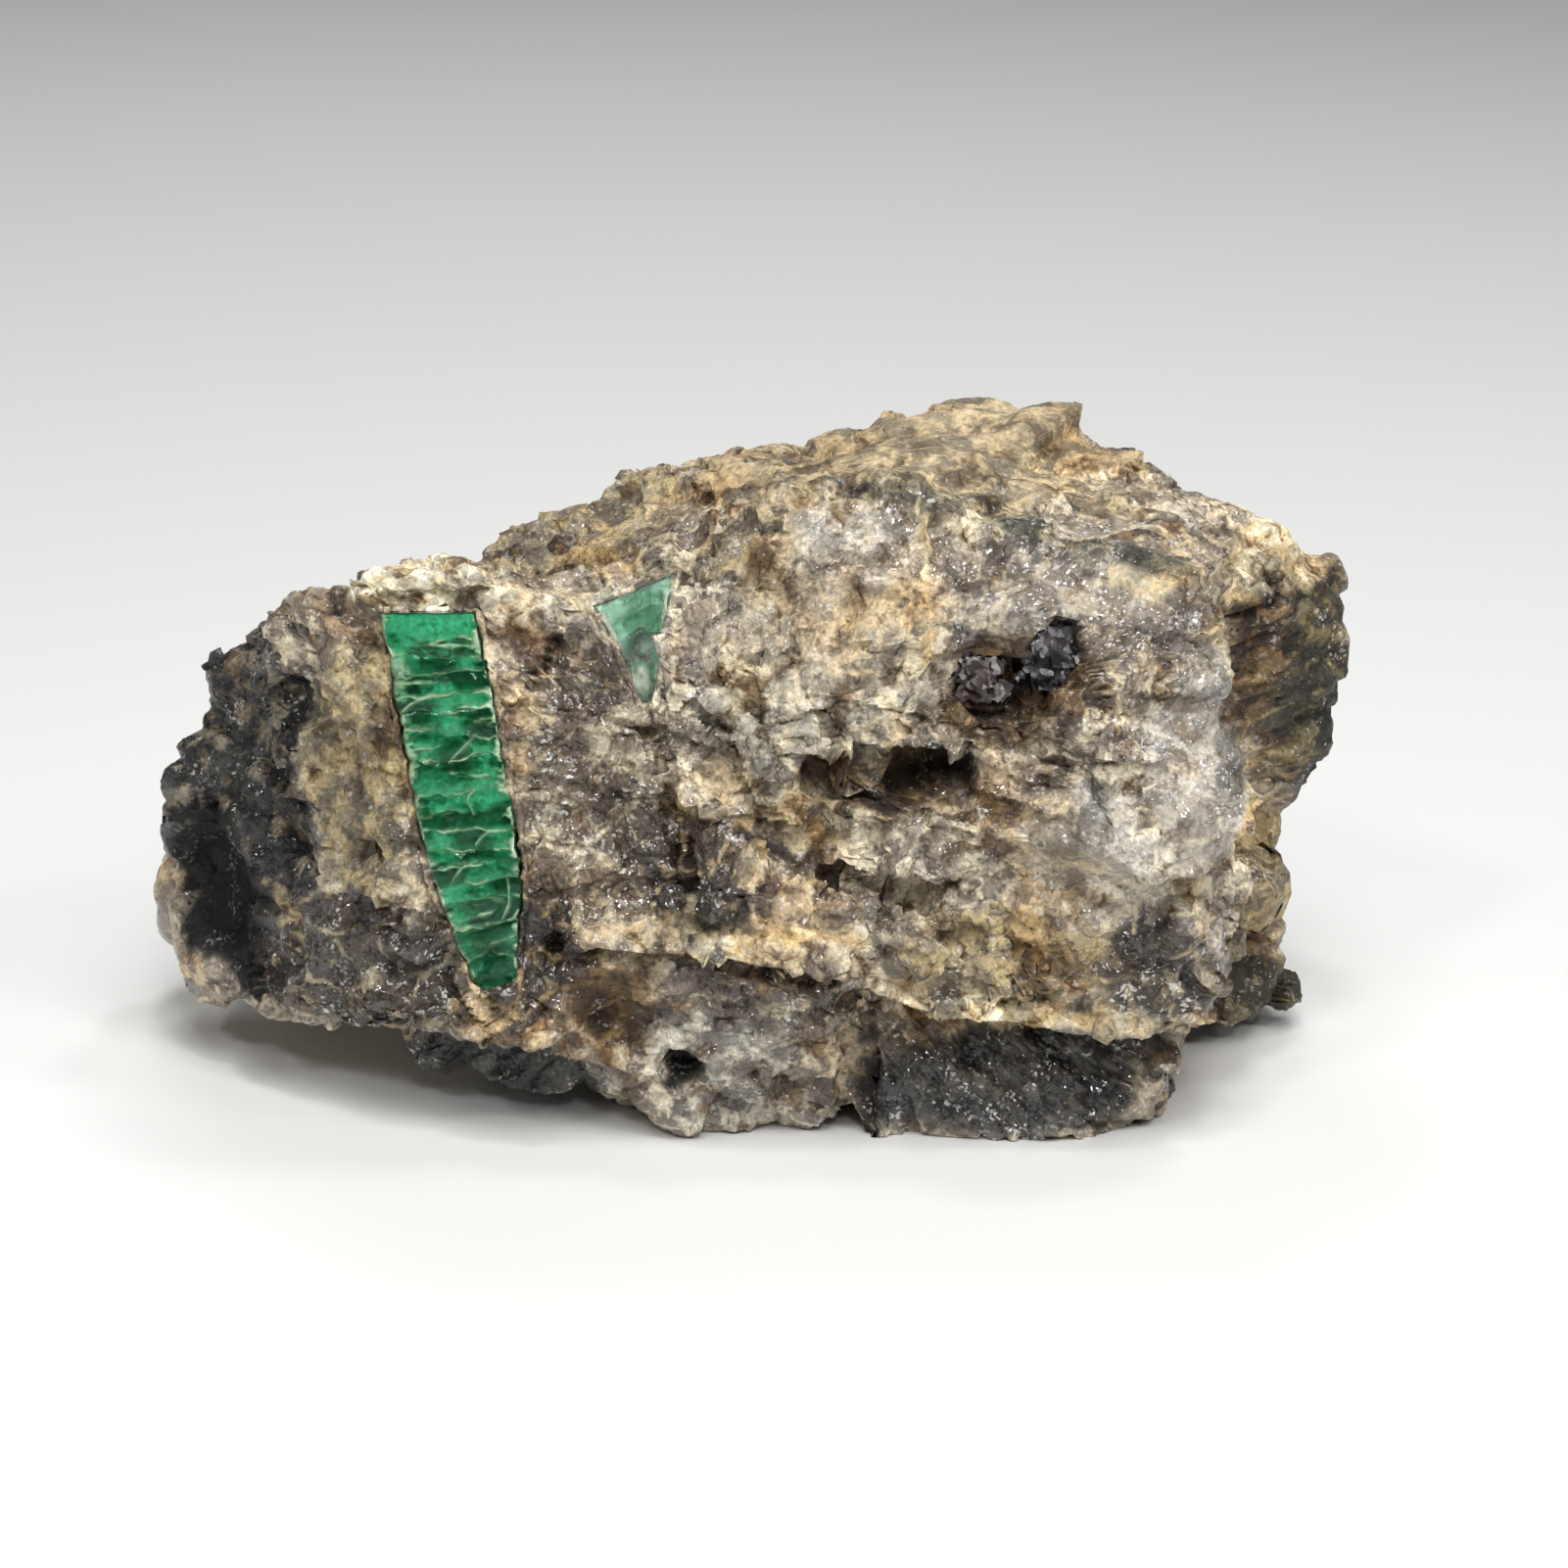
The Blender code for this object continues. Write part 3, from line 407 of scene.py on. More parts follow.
# The rock's material: cells to a metre, shares of each grain size in bump and glint, its dirt, stain and
# crack colours, and the white of specks that are partly painted glints
ROCK_GRAINS = (430, 1050, 4600)
GRAIN_BUMPS = (0.35, 0.6, 0.9)
GRAIN_GLINTS = (0.5, 0.8, 0.6)
BROWN_DIRT = (0.30, 0.21, 0.12, 1)
RUST_STAIN = (0.86, 0.68, 0.46, 1)
CRACK_BROWN = (0.34, 0.23, 0.13, 1)
WHITE_FLAW_AND_GLINT = (0.88, 0.86, 0.82, 1)

# Rims round the emeralds: points along the sides, top and foot and round the tube, its thickness,
# and where the rock beside it is looked for
RIM_SIDE, RIM_TOP, RIM_FOOT, RIM_ROUND = 240, 80, 20, 8
RIM_START = 0.1
RIM_RADIUS = 0.19
RIM_BUMPS = [(1.2, 0.10), (0.45, 0.07)]
RIM_LEAST = 0.07
RIM_WIDTH = 1.3
RIM_OUT = 0.1
RIM_SEARCH = 5
RIM_PAST = 1.5
RIM_CLEAR = 0.06
RIM_BLUR = 0.16
RIM_BRIGHTNESS = 1.15

# Beryl's index of refraction, the steps and corners of prisms and plates, the angle above which a
# crystal's edge is sharp, and the points of a healed crack's sheet and of the cloud
BERYL_IOR = 1.58
PRISM_STEP = 0.12
CRYSTAL_EDGE = 0.9
PLATE_THICKNESS = 0.15
PLATE_CORNERS = 96
SHEET_SHAPE = (140, 36)
CLOUD_COLUMNS = 100
CLOUD_STEP = 0.07

# Loose grains: how far they keep from the base and from crystals, then for each set its name, count,
# seed, least and most radius, share of the radius that is sunk, and how rare it is in smooth places
BASE_MARGIN = 0.5
CRYSTAL_MARGIN = 0.45
GRAIN_SETS = [
    ("matrix_coarse_grains", 1200, 11, (0.35, 1.1), 0.35, 0.9),
    ("matrix_fine_grains", 6000, 21, (0.12, 0.4), 0.15, 0.6),
]

# Lamps: place, size and power, then where they and the camera look. The camera's tilt is in degrees
LAMPS = {
    "key": ((0.06, -0.25, 0.48), 0.3, 1.9),
    "left fill": ((-0.5, -0.35, 0.25), 0.3, 0.25),
    "right glint": ((0.3, -0.3, 0.38), 0.06, 0.5),
    "left glint": ((-0.2, -0.36, 0.44), 0.06, 0.5),
    "far right glint": ((0.45, -0.2, 0.3), 0.06, 0.3),
    "middle glint": ((0.05, -0.46, 0.36), 0.06, 0.35),
    "high glint": ((0.0, -0.1, 0.55), 0.07, 0.6),
    "rear glint": ((0.15, 0.1, 0.5), 0.07, 0.4),
    "back": ((-0.1, 0.45, 0.5), 0.3, 0.9),
}
LAMP_TARGET = (0, -0.01, 0.02)
CAMERA_TARGET = (0.0018, 0, 0.0189)
CAMERA_DISTANCE = 0.29
CAMERA_TILT = 18
FLOOR_HALF_SIZE = 3.0
FLOOR_DROP = 0.00002

CUBE = [np.array(corner) for corner in itertools.product((0, 1), repeat=3)]
NEIGHBOURS = [np.array(step) for step in itertools.product((-1, 0, 1), repeat=3)]
SIX_WAYS = [sign * np.eye(3)[axis] for axis in range(3) for sign in (1, -1)]


def smooth(share):
    """The smooth step: 0 below 0, 1 above 1, and 3 x squared less 2 x cubed between."""
    share = np.clip(share, 0, 1)
    return share * share * (3 - 2 * share)


def hashed(cells, salt):
    """Numbers from 0 to 1 that look random, one for each lattice cell, always the same. The salt is
    a number of its own for each pattern."""
    wave = np.sin(cells @ np.array([127.1, 311.7, 74.7]) + 17.3 * salt) * 4375.85
    return wave - np.floor(wave)


def bumps(points, pitch, salt):
    """Smooth noise from -1 to 1: random heights on a cubic lattice, blended by smooth steps."""
    at = points / pitch
    low = np.floor(at)
    part = smooth(at - low)
    total = np.zeros(len(points))
    for corner in CUBE:
        total += np.where(corner, part, 1 - part).prod(axis=1) * hashed(low + corner, salt)
    return 2 * total - 1


def add_bumps(height, points, layers, salt):
    """Adds layers of noise to the height, each with its pitch and amount."""
    for number, (pitch, amount) in enumerate(layers):
        height += amount * bumps(points, pitch, salt + number)


def grains(points, pitch, salt, steepness=1.0):
    """Interlocking grains, one seed to a cell: each point belongs to its nearest seed.

    Gives the height of the grain's own tilted plane, how far the point is inside its grain (the
    second distance less the first, in pitches), and the grain's own number from 0 to 1.
    """
    at = points / pitch
    cell = np.floor(at)
    first = np.full(len(points), FAR)
    second = np.full(len(points), FAR)
    height = np.zeros(len(points))
    number = np.zeros(len(points))
    for step in NEIGHBOURS:
        home = cell + step
        seed = home + np.stack([hashed(home, salt + axis) for axis in (1, 2, 3)], axis=1)
        tilt = np.stack([hashed(home, salt + axis) for axis in (4, 5, 6)], axis=1) - 0.5
        away = at - seed
        distance = (away ** 2).sum(axis=1)
        own = hashed(home, salt + 7)
        closer = distance < first
        second = np.where(closer, first, np.minimum(second, distance))
        height = np.where(closer, own - 0.5 + steepness * (away * tilt).sum(axis=1), height)
        number = np.where(closer, hashed(home, salt + 8), number)
        first = np.where(closer, distance, first)
    return height, np.sqrt(second) - np.sqrt(first), number


def distance_to_path(points, path):
    """Distance from each point to the nearest of a path's straight runs."""
    nearest = np.full(len(points), FAR)
    for start, end in zip(path[:-1], path[1:]):
        start = np.array(start, float)
        run = np.array(end, float) - start
        along = np.clip((points - start) @ run / (run @ run), 0, 1)
        gap = points - start - along[:, None] * run
        nearest = np.minimum(nearest, np.sqrt((gap ** 2).sum(axis=1)))
    return nearest


def hull_planes(corners):
    """Normals and distances from the heart of the planes round a lump and the stone's core."""
    core = [np.array(HEART) + CORE * way for way in SIX_WAYS]
    hull = bmesh.new()
    for corner in list(corners) + core:
        hull.verts.new(corner)
    bmesh.ops.convex_hull(hull, input=hull.verts)
    hull.normal_update()
    planes = set()
    for face in hull.faces:
        reach = face.normal.dot(face.calc_center_median() - Vector(HEART))
        side = 1 if reach > 0 else -1
        planes.add(tuple(round(side * value, 3) for value in (*face.normal, reach)))
    hull.free()
    planes = np.array(sorted(planes))
    return planes[:, :3], planes[:, 3]


def lump_reach(directions):
    """How far the farthest lump reaches from the heart, with its edges rounded a little."""
    farthest = np.zeros(len(directions))
    for corners in LUMPS.values():
        normals, distances = hull_planes(corners)
        rate = directions @ normals.T
        reach = np.where(rate > TINY, distances / np.maximum(rate, TINY), FAR)
        nearest = reach.min(axis=1)
        crowding = np.exp((nearest[:, None] - reach) / EDGE_ROUNDING).sum(axis=1)
        farthest = np.maximum(farthest, nearest - EDGE_ROUNDING * np.log(crowding))
    return farthest


def spread_from(points, middle, half_sizes):
    """Squared distance of each point from a place's middle, counted in its half sizes."""
    return (((points - np.array(middle)) / np.array(half_sizes)) ** 2).sum(axis=1)


def add_places(height, points, forms, paths, form_power, path_power):
    """Adds forms and paths to the height: each one's own height times exp(-x), where x is a power of
    the squared distance from its middle in half sizes, or of that from its path in half widths."""
    for middle, half_sizes, amount in forms.values():
        height += amount * np.exp(-spread_from(points, middle, half_sizes) ** form_power)
    for path, half_width, amount in paths.values():
        height += amount * np.exp(-(distance_to_path(points, path) / half_width) ** path_power)


def relief(points):
    """Height in mm added to the lumps: bumps and broken faces, then forms and ridges."""
    height = np.full(len(points), SKIN)
    add_bumps(height, points, BUMPS, 0)
    for number, (pitch, amount) in enumerate(BROKEN_FACES):
        height += amount * grains(points, pitch, 20 + 10 * number)[0]
    add_places(height, points, FORMS, RIDGES, 2, 2)
    return height


def smoothness(points):
    """1 in the middle of a smooth place, 0 away from all of them."""
    most = np.zeros(len(points))
    for middle, half_sizes in SMOOTH_PLACES.values():
        most = np.maximum(most, np.exp(-spread_from(points, middle, half_sizes) ** 2))
    return most


def ledges(points, pitch, salt):
    """Steps across the layers: each layer stands out at its lower edge and falls back upwards.

    The level is the distance across the layers in pitches, shifted by noise. Its fraction falls
    from a half to minus a half up each layer, and noise says where the steps are strong.
    """
    level = points @ LAYER_WAY / pitch + 0.5 * bumps(points, 3 * pitch, salt)
    strength = smooth(0.45 + 1.3 * bumps(points, 8.0, salt + 1))
    return (0.5 - (level - np.floor(level))) * strength


def sugary(points, number):
    """From 0 where the rock breaks in broad faces to 1 where it is made of small grains: noise."""
    return smooth(0.5 + 1.4 * bumps(points, 7.0, 170 + number))


def fine_relief(points):
    """Height of the grains: each one's tilted plane, and a dome that rises as the root of the
    distance from its joints. Then ledges, small noise, and the sharper forms and cracks."""
    height = np.full(len(points), -FINE_SINK)
    for number, (pitch, amount, steepness, bulge) in enumerate(FINE_FACES):
        plane, inside, _ = grains(points, pitch, 70 + 10 * number, steepness)
        dome = np.sqrt(np.clip(inside / 0.55, 0, 1)) - 0.75
        height += (amount * plane + bulge * dome) * (0.35 + 0.9 * sugary(points, number))
    for number, (pitch, amount) in enumerate(LEDGES):
        height += amount * ledges(points, pitch, 140 + 10 * number)
    height += 0.12 * bumps(points, 0.8, 95)
    height *= 1 - 0.8 * smoothness(points)
    add_places(height, points, DEEP_FORMS, CRACKS, 3, 4)
    return height


def box_grid(cells):
    """A cube's surface from -1 to 1 as grids of two parameters, welded by lattice number."""
    cells = np.array(cells)
    lattice = []
    faces = []
    start = 0
    for axis in range(3):
        across, along = (axis + 1) % 3, (axis + 2) % 3
        shape = (cells[across] + 1, cells[along] + 1)
        for side in (0, 1):
            grid = np.zeros((*shape, 3), int)
            grid[..., axis] = side * cells[axis]
            grid[..., across] = np.arange(shape[0])[:, None]
            grid[..., along] = np.arange(shape[1])[None, :]
            number = start + np.arange(shape[0] * shape[1]).reshape(shape)
            quads = np.stack([number[:-1, :-1], number[1:, :-1], number[1:, 1:], number[:-1, 1:]], -1)
            quads = quads.reshape(-1, 4)
            faces.append(quads if side else quads[:, ::-1])
            lattice.append(grid.reshape(-1, 3))
            start += shape[0] * shape[1]
    corners, welded = np.unique(np.concatenate(lattice), axis=0, return_inverse=True)
    return 2 * corners / cells - 1, welded.ravel()[np.concatenate(faces)]


def unit(ways):
    """Rows at the length of 1."""
    return ways / np.linalg.norm(ways, axis=-1, keepdims=True)


def own_frame(table):
    """A crystal's foot and its axes as rows: across, away from the viewer, and up to its top."""
    foot = np.array(table["foot"], float)
    up = unit(np.array(table["top"], float) - foot)
    across = unit(np.cross((0, 1, 0), up))
    return foot, np.stack([across, np.cross(up, across), up])


def to_own(points, table):
    """Points carried into a crystal's own frame."""
    foot, axes = own_frame(table)
    return (points - foot) @ axes.T


def from_own(points, table):
    """Points carried back from a crystal's own frame."""
    foot, axes = own_frame(table)
    return points @ axes + foot


def half_at(table, level):
    """A prism's half width at a height, by its taper."""
    return table["half_width"] * np.interp(level, *zip(*table["taper"]))


def length_of(table):
    """A prism's length: the last height of its taper."""
    return table["taper"][-1][0]


def sides_of(section):
    """A section's front and back edges as two lines of corners that run from left to right."""
    corners = np.array(section)
    left, right = corners[:, 0].argmin(), corners[:, 0].argmax()
    middle = np.interp(corners[:, 0], *corners[[left, right]].T)
    lines = []
    for side in (-1, 1):
        kept = corners[side * (corners[:, 1] - middle) >= 0]
        lines.append(kept[kept[:, 0].argsort()])
    return lines


def in_prism(points, table, margin):
    """Points in a prism's own frame, its half width there, and if they are inside it by a margin."""
    local = to_own(points, table)
    half = half_at(table, local[:, 2])
    inside = (np.abs(local[:, 0]) < half - margin) & (np.abs(local[:, 1]) < CRYSTAL_DEPTH)
    inside &= (local[:, 2] > margin) & (local[:, 2] < length_of(table) - margin)
    return local, half, inside


def press_prism_pocket(points, table):
    """Points near a prism's sides or ends snap to its outline, and those inside sink to its back."""
    local, half, _ = in_prism(points, table, 0)
    back = sides_of(table["section"])[1]
    length = length_of(table)
    slope = table["shear"] * local[:, 0] * smooth(local[:, 2] / length)
    level = local[:, 2] - slope
    side = half - np.abs(local[:, 0])
    end = np.minimum(level, length - level)
    near = (np.abs(local[:, 1]) < CRYSTAL_DEPTH) & (side > -SNAP) & (end > -SNAP)
    rim = near & (np.abs(side) < SNAP)
    local[:, 0] = np.where(rim, np.sign(local[:, 0]) * (half + RIM_GAP), local[:, 0])
    top = near & (np.abs(length - level) < SNAP)
    local[:, 2] = np.where(top, length + RIM_GAP + slope, local[:, 2])
    inner = near & (side >= SNAP) & (end > SNAP)
    floor = half * np.interp(local[:, 0] / half, *back.T)
    local[:, 1] = np.where(inner, np.maximum(local[:, 1], floor), local[:, 1])
    return from_own(local, table)


def in_book(points, table):
    """Points in a mica book's own frame, how far outside its outline they are, and the way out,
    square to the nearest side."""
    local = to_own(points, table)
    corners = np.array(table["section"])
    nexts = np.roll(corners, -1, axis=0)
    ways = unit(np.stack([(nexts - corners)[:, 1], (corners - nexts)[:, 0]], axis=1))
    past = ((local[:, None, :2] - corners) * ways).sum(axis=2)
    beside = (local[:, 2] > -1) & (local[:, 2] < CRYSTAL_DEPTH)
    return local, np.where(beside, past.max(axis=1), FAR), ways[past.argmax(axis=1)]


def press_book_pocket(points, table):
    """Points near a book's rim snap a little inside its outline; those inside sink to its foot."""
    local, past, ways = in_book(points, table)
    rim = np.abs(past + BOOK_LAP) < SNAP
    local[:, :2] -= np.where(rim, past + BOOK_LAP, 0)[:, None] * ways
    inner = past + BOOK_LAP <= -SNAP
    local[:, 2] = np.where(inner, np.minimum(local[:, 2], 0), local[:, 2])
    return from_own(local, table)


def linear(colour):
    """Linear light of a colour given from 0 to 255."""
    share = np.array(colour, float) / 255
    return np.where(share < 0.04045, share / 12.92, ((share + 0.055) / 1.055) ** 2.4)


def minerals(points):
    """The rock's look at each point, as its three attributes' columns: body colour and its grain's
    number; crust colour and how much its place in the grain draws crust; share of crust, each
    one's gloss, and how smooth the place is. Noise makes the edges of zones and streaks ragged."""
    at = points.copy()
    for turn, (pitch, amount) in enumerate(ZONE_WARP):
        for axis in range(3):
            at[:, axis] += amount * bumps(points, pitch, 100 + 10 * turn + axis)
    rows = {kind: np.concatenate([linear(body), linear(crust), shares])
            for kind, (body, crust, *shares) in KINDS.items()}
    look = np.tile(rows["mixed"], (len(points), 1))
    ragged = 0.5 * bumps(points, 1.1, 90)
    for kind, middle, half_sizes in ZONES.values():
        away = np.sqrt(spread_from(at, middle, half_sizes))
        member = smooth((1 - away) * min(half_sizes) / ZONE_EDGE + 0.5 + ragged)
        look += member[:, None] * (rows[kind] - look)
    bent = points + 0.25 * (at - points)
    for kind, path, half_width in STREAKS.values():
        away = distance_to_path(bent * STREAK_SQUEEZE, np.array(path) * STREAK_SQUEEZE)
        member = smooth((half_width - away) / STREAK_EDGE + 0.5 + ragged)
        look += member[:, None] * (rows[kind] - look)
    tint = np.ones(len(points))
    add_bumps(tint, points, TINTS, 130)
    look[:, :6] *= tint[:, None]
    for table in PRISMS.values():
        local, _, within = in_prism(points, table, 0.1)
        # The bed under each crystal is painted darker towards the crystal's foot and lighter towards its top,
        # with noise: painted light and shade along the crystal
        bed_shading = 0.45 + 0.6 * local[:, 2] / length_of(table)
        bed_shading *= 1 + 0.45 * bumps(local * (0.3, 0.3, 1), 1.4, 151)
        look = np.where(within[:, None], rows["bed"], look)
        look[:, :6] *= np.where(within, bed_shading, 1)[:, None]
    _, inside, number = grains(points, FINE_FACES[1][0], 80)
    joint = 0.5 + look[:, 9] * (0.25 - inside)
    columns = [look[:, :3], number, look[:, 3:6], joint, look[:, 6:9], smoothness(points)]
    return np.clip(np.column_stack(columns), 0.002, 1)


def add_thing(name, data):
    """An object for a mesh, a lamp or a camera, put in the scene."""
    thing = bpy.data.objects.new(name, data)
    bpy.context.scene.collection.objects.link(thing)
    return thing


def add_piece(name, points, faces, surface, look=None, flat=False):
    """A mesh in metres from points in mm, with the rock's look kept on its points."""
    mesh = bpy.data.meshes.new(name)
    mesh.vertices.add(len(points))
    mesh.vertices.foreach_set("co", (np.asarray(points) * MM).astype(np.float32).ravel())
    mesh.loops.add(faces.size)
    mesh.loops.foreach_set("vertex_index", faces.astype(np.int32).ravel())
    mesh.polygons.add(len(faces))
    starts = np.arange(0, faces.size, faces.shape[1], dtype=np.int32)
    mesh.polygons.foreach_set("loop_start", starts)
    mesh.update(calc_edges=True)
    mesh.polygons.foreach_set("use_smooth", np.full(len(faces), not flat))
    if look is not None:
        fours = np.split(look.astype(np.float32), look.shape[1] // 4, axis=1)
        for attribute, four in zip(LOOKS, fours):
            kept = mesh.attributes.new(attribute, "FLOAT_COLOR", "POINT")
            kept.data.foreach_set("color", four.ravel())
    piece = add_thing(name, mesh)
    mesh.materials.append(surface)
    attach(piece, "root")
    return piece


def new_material(name):
    """An empty node material with its Principled shader."""
    made = bpy.data.materials.new(name)
    made.use_nodes = True
    return made, made.node_tree, made.node_tree.nodes["Principled BSDF"]


def feed(tree, node, **inputs):
    """Gives a node's inputs values or other nodes' outputs. An input goes by its name, with
    underscores for spaces, or by the letter i and its place."""
    for key, value in inputs.items():
        by_place = key[0] == "i" and key[1:].isdigit()
        socket = node.inputs[int(key[1:]) if by_place else key.replace("_", " ")]
        if isinstance(value, bpy.types.NodeSocket):
            tree.links.new(value, socket)
        else:
            socket.default_value = value
    return node


def add_node(tree, kind, settings=None, **inputs):
    """A node with its settings, fed with its inputs."""
    node = tree.nodes.new("ShaderNode" + kind)
    for key, value in (settings or {}).items():
        setattr(node, key, value)
    return feed(tree, node, **inputs)


def object_place(tree):
    """The place in the piece's own coordinates."""
    return add_node(tree, "TexCoord").outputs["Object"]


def ramp(tree, value, low, high, to_low=0.0, to_high=1.0):
    """A value carried from one range to another, held at the ends."""
    return add_node(tree, "MapRange", i0=value, i1=low, i2=high, i3=to_low, i4=to_high).outputs[0]


def spread(tree, share, to_low, to_high):
    """A share from 0 to 1 carried to a range."""
    return ramp(tree, share, 0.0, 1.0, to_low, to_high)


def swing(tree, cloudy, to_low, to_high):
    """Noise, which mostly lies from 0.3 to 0.7, carried to a range."""
    return ramp(tree, cloudy, 0.3, 0.7, to_low, to_high)


def operated(tree, kind, operation, values):
    """The outputs of a node that does an operation on values."""
    inputs = {"i" + str(number): value for number, value in enumerate(values)}
    return add_node(tree, kind, {"operation": operation}, **inputs).outputs


def maths(tree, operation, *values):
    """A maths node's result."""
    return operated(tree, "Math", operation, values)[0]


def times(tree, first, second):
    """One value times another."""
    return maths(tree, "MULTIPLY", first, second)


def vector(tree, operation, *values):
    """A vector maths node's first result."""
    return operated(tree, "VectorMath", operation, values)[0]


def scaled(tree, value, amount):
    """A vector or colour times a number."""
    return add_node(tree, "VectorMath", {"operation": "SCALE"}, i0=value, Scale=amount).outputs[0]


def mixed(tree, share, first, second, blend="MIX"):
    """Two colours mixed by a share."""
    settings = {"data_type": "RGBA", "blend_type": blend}
    return add_node(tree, "Mix", settings, i0=share, i6=first, i7=second).outputs[2]


def noise(tree, place, scale, detail, roughness=0.5):
    """A noise texture's outputs."""
    return add_node(tree, "TexNoise", Vector=place, Scale=scale, Detail=detail, Roughness=roughness).outputs


def bumped(tree, height, strength, distance):
    """A normal that leans by a height."""
    return add_node(tree, "Bump", Height=height, Strength=strength, Distance=distance).outputs[0]


def facets(tree, place, scale):
    """A pattern of grains: each one's random vector from -0.5 to 0.5, a random number, and the
    height of its tilted plane, the offset from its seed times that vector."""
    cells = add_node(tree, "TexVoronoi", Vector=place, Scale=scale).outputs
    way = vector(tree, "SUBTRACT", cells["Color"], (0.5, 0.5, 0.5))
    offset = vector(tree, "SUBTRACT", place, cells["Position"])
    height = operated(tree, "VectorMath", "DOT_PRODUCT", (offset, way))[1]
    return way, add_node(tree, "SeparateColor", i0=cells["Color"]).outputs[0], height


def cell_edges(tree, place, scale):
    """The distance to the edge of the cells that grow round random seeds."""
    settings = {"feature": "DISTANCE_TO_EDGE"}
    return add_node(tree, "TexVoronoi", settings, Vector=place, Scale=scale).outputs["Distance"]


def rock_material():
    """Broken rock in three sizes of grain: glassy bodies in each point's body colour, patches of its
    crust colour where cloudy noise passes the crust's share, dirt, white and dark specks, the white
    ones partly white flaws and partly painted glints. The grains' tilted planes are the bump, and the
    coat's normal is turned by grain, so faces glint."""
    made, tree, shader = new_material("quartz and mica rock")
    place = object_place(tree)
    body, crust, finish = [add_node(tree, "Attribute", {"attribute_name": name}).outputs for name in LOOKS]
    grain, joint, calm = body["Alpha"], crust["Alpha"], finish["Alpha"]
    body, crust = body["Color"], crust["Color"]
    share, body_gloss, crust_gloss = add_node(tree, "SeparateColor", i0=finish["Color"]).outputs

    # Patterns: the places bent by noise, then fine noise, clouds and dirt, and the three grains
    bent = vector(tree, "ADD", place, scaled(tree, noise(tree, place, 500, 3)["Color"], 0.0012))
    fine = noise(tree, place, 2200, 5, 0.72)["Fac"]
    cloud = noise(tree, bent, 270, 6, 0.66)["Fac"]
    dirt = noise(tree, bent, 420, 4, 0.62)["Fac"]
    way, number, height = zip(*[facets(tree, bent, scale) for scale in ROCK_GRAINS])

    # Crust: where the cloud passes the share, and in a net of veins
    covered = maths(tree, "MULTIPLY_ADD", share, 0.29, cloud)
    covered = maths(tree, "MULTIPLY_ADD", number[1], 0.05, covered)
    covered = maths(tree, "ADD", covered, spread(tree, joint, -0.14, 0.14))
    covered = ramp(tree, covered, 0.63, 0.73)
    vein = ramp(tree, cell_edges(tree, bent, 250), 0.02, 0.055, 0.9, 0.0)
    vein = times(tree, vein, ramp(tree, dirt, 0.44, 0.52))
    vein = times(tree, vein, ramp(tree, joint, 0.35, 0.45))
    covered = maths(tree, "MAXIMUM", covered, vein)

    # Colour: body and crust by grain, then dirt, stains, cracks, and white specks that are partly painted
    # glints
    body = scaled(tree, body, swing(tree, noise(tree, bent, 140, 2)["Fac"], 0.7, 1.25))
    glassy = scaled(tree, body, spread(tree, grain, 0.65, 1.3))
    glassy = scaled(tree, glassy, spread(tree, number[1], 0.6, 1.35))
    dusty = scaled(tree, crust, spread(tree, number[1], 0.85, 1.3))
    colour = scaled(tree, mixed(tree, covered, glassy, dusty), swing(tree, fine, 0.48, 1.48))
    colour = mixed(tree, ramp(tree, dirt, 0.49, 0.38, 0.0, 0.9), colour, BROWN_DIRT, "MULTIPLY")
    stain = ramp(tree, noise(tree, place, 95, 4, 0.62)["Fac"], 0.48, 0.62, 0.0, 0.7)
    colour = mixed(tree, stain, colour, RUST_STAIN, "MULTIPLY")
    crack = ramp(tree, cell_edges(tree, bent, ROCK_GRAINS[0]), 0.01, 0.06, 0.85, 0.0)
    crack = times(tree, crack, ramp(tree, dirt, 0.50, 0.42))
    colour = mixed(tree, crack, colour, CRACK_BROWN, "MULTIPLY")
    colour = mixed(tree, times(tree, calm, 0.25), colour, scaled(tree, body, 1.05))
    # White specks in clusters on glossy grains: partly white flaws in the quartz, partly painted glints
    cluster = ramp(tree, noise(tree, place, 420, 4, 0.6)["Fac"], 0.52, 0.60)
    bright = ramp(tree, number[2], 0.78, 0.88, 0.0, 0.75)
    flaw_and_glint = times(tree, times(tree, cluster, bright), body_gloss)
    colour = mixed(tree, flaw_and_glint, colour, WHITE_FLAW_AND_GLINT)

    # Gloss and relief
    gloss = add_node(tree, "Mix", i0=covered, i2=body_gloss, i3=crust_gloss).outputs[0]
    rough = maths(tree, "ADD", spread(tree, gloss, 0.85, 0.3), swing(tree, fine, -0.15, 0.15))
    total = times(tree, fine, 0.0002)
    for part, amount in zip(height, GRAIN_BUMPS):
        total = maths(tree, "MULTIPLY_ADD", part, amount, total)
    total = maths(tree, "MULTIPLY_ADD", cloud, 0.0007, total)
    total = times(tree, total, spread(tree, calm, 1.0, 0.8))
    whole = add_node(tree, "NewGeometry").outputs["Normal"]
    for part, amount in zip(way, GRAIN_GLINTS):
        whole = vector(tree, "ADD", whole, scaled(tree, part, amount))
    feed(tree, shader, Base_Color=colour, Roughness=rough, Normal=bumped(tree, total, 1.0, 1.0),
         Coat_Normal=vector(tree, "NORMALIZE", whole), Coat_Weight=ramp(tree, gloss, 0.3, 0.9),
         Coat_Roughness=0.08)
    return made


def outward(points, faces):
    """Unit normals of a grid's points: the cross products of its cells' diagonals, summed."""
    cross = np.cross(points[faces[:, 2]] - points[faces[:, 0]], points[faces[:, 3]] - points[faces[:, 1]])
    total = [np.bincount(faces.ravel(), np.repeat(cross[:, axis], 4), len(points)) for axis in range(3)]
    return unit(np.stack(total, axis=1))


